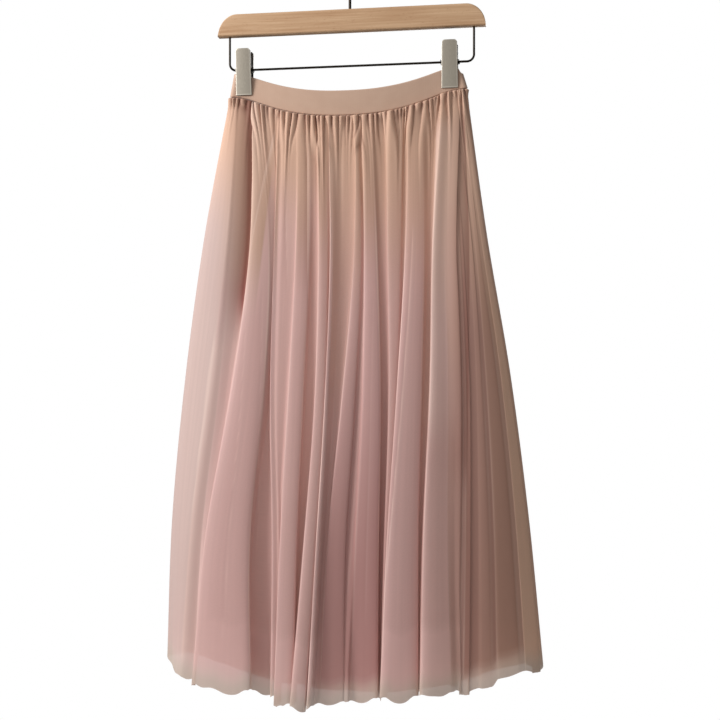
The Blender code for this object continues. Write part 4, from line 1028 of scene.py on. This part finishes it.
def clipRail():
    # wire hung from the bar by its two upturned ends
    half, low = rail["span"] / 2, barUnder - rail["drop"] + rail["corner"]
    inner = half - rail["corner"]
    leg = np.linspace(barUnder + rail["into"], low, rail["legPoints"])[:-1]
    run = np.linspace(-inner, inner, rail["runPoints"])[1:-1]
    route = np.concatenate([np.stack([0 * leg - half, 0 * leg, leg], axis=1),
                            arcPoints((-inner, low), rail["corner"], 180, 270, rail["cornerSteps"]),
                            np.stack([run, 0 * run, 0 * run + low - rail["corner"]], axis=1),
                            arcPoints((inner, low), rail["corner"], 270, 360, rail["cornerSteps"]),
                            np.stack([0 * leg + half, 0 * leg, leg[::-1]], axis=1)])
    return tube("wireRail", route, rail["wire"] / 2, rail["sides"])


finish(hangerHook(), "hanger_hook")
finish(clipRail(), "clip_rail")


clips = {"left": -0.144, "right": 0.133}     # where along the bar
# tipY and topY: how far its inner face stands from the middle at tip and top; chamfer: cut of its top
# corners; flare: how much wider its tip is; lip and flange: how deep the sides are below and above the
# rail, and where they change; crown: how far the face swells; round: radius of its two corners; the edge
# highlight entry: how far in from its edge, and how wide, is the bright painted highlight line; wallPoints:
# points of the section that the flange walls take beside the inside
plate = {"width": 0.020, "length": 0.061, "thick": 0.0013, "tipZ": barUnder - 0.0795, "tipY": 0.0030,
         "topY": 0.0108, "chamfer": 0.0024, "flare": 0.0008, "lip": 0.0003, "flange": 0.0028,
         "flangeFrom": (0.50, 0.60), "crown": 0.0004, "round": 0.0005, "paintedEdgeHighlight": (0.0006, 0.0008),
         "rows": 90, "faceSteps": 33, "backSteps": 9, "cornerSteps": 4, "wallPoints": 4, "sharpDeg": 40}


def clipPlate(name, x, side):
    # one pressed plate, closed: a channel section carried up from the tip, leaning out, with a crowned
    # face, lips that deepen to flanges above the rail and cut top corners. the face has a bright painted
    # highlight near its edges, and the inside, the flange walls and the cut ends take the dark wire material
    # as
    # painted shade. section: over the face from left to right, then back along the inside
    rows, thick, small = plate["rows"], plate["thick"], plate["round"]
    along = np.linspace(0, 1, rows)
    inner = plate["tipY"] + along * (plate["topY"] - plate["tipY"])
    z = plate["tipZ"] + along * plate["length"]
    cut = np.clip(along * plate["length"] - plate["length"] + plate["chamfer"], 0, 1)
    wide = (plate["width"] / 2 + plate["flare"] * (1 - along) - cut)[:, None]
    deepen = smoothStep(*plate["flangeFrom"], along)[:, None]
    lip = -(plate["lip"] + (plate["flange"] - plate["lip"]) * deepen)
    turn = np.linspace(0, np.pi / 2, plate["cornerSteps"] + 1)[:-1]
    cornerX = -wide + small * (1 - np.cos(turn))
    cornerY = np.tile(thick - small + small * np.sin(turn), (rows, 1))
    across, back = np.linspace(-1, 1, plate["faceSteps"]), np.linspace(1, -1, plate["backSteps"])
    faceY = np.tile(thick + plate["crown"] * (1 - across ** 2), (rows, 1))
    insideX = (wide - thick) * back
    sectionX = np.concatenate([-wide, cornerX, (wide - small) * across, -cornerX[:, ::-1], wide,
                               wide - thick, insideX, thick - wide], axis=1)
    sectionY = np.concatenate([lip, cornerY, faceY, cornerY[:, ::-1], lip, lip, 0 * insideX, lip], axis=1)
    count = sectionX.shape[1]
    points = np.stack([x + sectionX, side * (inner[:, None] + sectionY), np.tile(z[:, None], count)], axis=2)
    faces, ring = gridFaces(rows, count, closedColumns=True), np.arange(count)
    caps = (ring[::-1], ring + (rows - 1) * count)
    if side > 0:
        faces, caps = faces[:, ::-1], (caps[0][::-1], caps[1][::-1])
    inset = np.minimum(wide - np.abs(sectionX), (z - z[0])[:, None])
    # painted highlight: a bright line a little in from the plate's edges
    paintedEdgeHighlight = bump(inset - plate["paintedEdgeHighlight"][0], plate["paintedEdgeHighlight"][1])
    piece = makeMesh(name, points, faces, nickel, marks={"paintedEdgeHighlight": paintedEdgeHighlight}, caps=caps)
    # painted shade: the inside, the flange walls and the cut ends take the dark wire material
    piece.data.materials.append(wire)
    paintedShadeFaces = (ring >= count - len(back) - plate["wallPoints"]) | (ring == 0)
    slots = np.append(np.tile(paintedShadeFaces, rows - 1), [1, 1]).astype(np.int32)
    piece.data.polygons.foreach_set("material_index", slots)
    piece.data.set_sharp_from_angle(angle=math.radians(plate["sharpDeg"]))
    return piece


spring = {"radius": 0.0031, "wire": 0.0011, "length": 0.0250, "turns": 17, "turnSteps": 18, "sides": 8}


def clipSpring(name, x):
    # a coil round the rail, a little longer than its plate is wide: radius (cos, sin) while it moves along
    # the rail
    steps = spring["turns"] * spring["turnSteps"]
    turn = np.linspace(0, 2 * np.pi * spring["turns"], steps)
    along = np.linspace(-0.5, 0.5, steps) * spring["length"]
    y, z = spring["radius"] * np.cos(turn), barUnder - rail["drop"] + spring["radius"] * np.sin(turn)
    path = np.stack([x + along, y, z], axis=1)
    return tube(name, path, spring["wire"] / 2, spring["sides"])


for label, x in clips.items():
    for end, side in (("front", -1), ("back", 1)):
        finish(clipPlate("plate_" + label + "_" + end, x, side), "clip_" + label + "_" + end)
    finish(clipSpring("coil_" + label, x), "clip_" + label + "_spring")
print("hanger made")


# camera, light, floor

# turn: degrees to the right of straight ahead; middle: the point it looks at, level with it
view = {"turn": 8.714, "distance": 1.5, "middle": (0.0135, 0.0, -0.5283), "lens": 56.42, "sensor": 36.0,
        "near": 0.05}
camera = bpy.data.objects.new("camera", bpy.data.cameras.new("camera"))
camera.data.lens = view["lens"]
camera.data.sensor_width = view["sensor"]
camera.data.clip_start = view["near"]
turned = math.radians(view["turn"])
camera.location = (view["middle"][0] + view["distance"] * math.sin(turned),
                   view["middle"][1] - view["distance"] * math.cos(turned), view["middle"][2])
camera.rotation_euler = (math.pi / 2, 0, turned)
bpy.context.collection.objects.link(camera)
bpy.context.scene.camera = camera

# broad daylight from the front left, and a weaker lamp for the far side
lights = {"window": {"place": (-1.50, -0.80, 0.42), "aim": (-0.05, 0, -0.30), "size": 0.8, "power": 36,
                     "colour": "#FFFCF9"},
          "behind": {"place": (0.30, 1.90, 0.10), "aim": (0, 0, -0.40), "size": 1.2, "power": 13,
                     "colour": "#FFFCF9"}}
for label, light in lights.items():
    lamp = bpy.data.lights.new(label, "AREA")
    lamp.shape = "DISK"
    lamp.size = light["size"]
    lamp.energy = light["power"]
    lamp.color = fromHex(light["colour"])[:3]
    thing = bpy.data.objects.new(label, lamp)
    away = np.array(light["place"]) - np.array(light["aim"])
    thing.location = light["place"]
    tilt = math.atan2(math.hypot(away[0], away[1]), away[2])
    thing.rotation_euler = (tilt, 0, math.atan2(away[0], -away[1]))
    bpy.context.collection.objects.link(thing)

# white seen behind everything; as light it is soft, stronger from above, the left and the front
room = {"lean": (-0.24, -0.16, 0.24), "level": 0.35, "least": 0.08, "most": 0.80}
world = bpy.data.worlds.new("studio")
bpy.context.scene.world = world
world.use_nodes = True
tree = world.node_tree
away = addNode(tree, "ShaderNodeTexCoord")
facing = addNode(tree, "ShaderNodeVectorMath", {"operation": "DOT_PRODUCT", 1: room["lean"]},
                 {0: (away, "Generated")})
level = addNode(tree, "ShaderNodeMath", {"operation": "ADD", 1: room["level"]}, {0: (facing, "Value")})
level = addNode(tree, "ShaderNodeClamp", {"Min": room["least"], "Max": room["most"]}, {"Value": (level, 0)})
soft = addNode(tree, "ShaderNodeBackground", {"Color": fromHex("#FBF8F4")}, {"Strength": (level, 0)})
seen = addNode(tree, "ShaderNodeBackground", {"Color": (1, 1, 1, 1), "Strength": 1.0})
ray = addNode(tree, "ShaderNodeLightPath")
mixed = addNode(tree, "ShaderNodeMixShader", {}, {0: (ray, "Is Camera Ray"), 1: (soft, 0), 2: (seen, 0)})
tree.links.new(mixed.outputs[0], tree.nodes["World Output"].inputs["Surface"])
bpy.context.scene.view_settings.view_transform = "Standard"

# a pale round floor well below the hem
ground = {"radii": (0.001, 0.72), "sides": 96, "below": 0.32}
floorTurn = np.linspace(0, 2 * np.pi, ground["sides"], endpoint=False)
floorRadius = np.array(ground["radii"])[:, None]
floorShape = (len(ground["radii"]), ground["sides"])
floorPoints = np.stack([floorRadius * np.cos(floorTurn), floorRadius * np.sin(floorTurn),
                        np.full(floorShape, cadBounds[0][2] - ground["below"])], axis=2)
paint, _, _ = newMaterial("painted_floor", {"Base Color": fromHex("#F4F2EF"), "Roughness": 0.8})
floor = makeMesh("floor", floorPoints, gridFaces(*floorShape, closedColumns=True)[:, ::-1], paint)
bpy.context.scene.cycles.transparent_max_bounces = 32
print("camera, light and floor set")
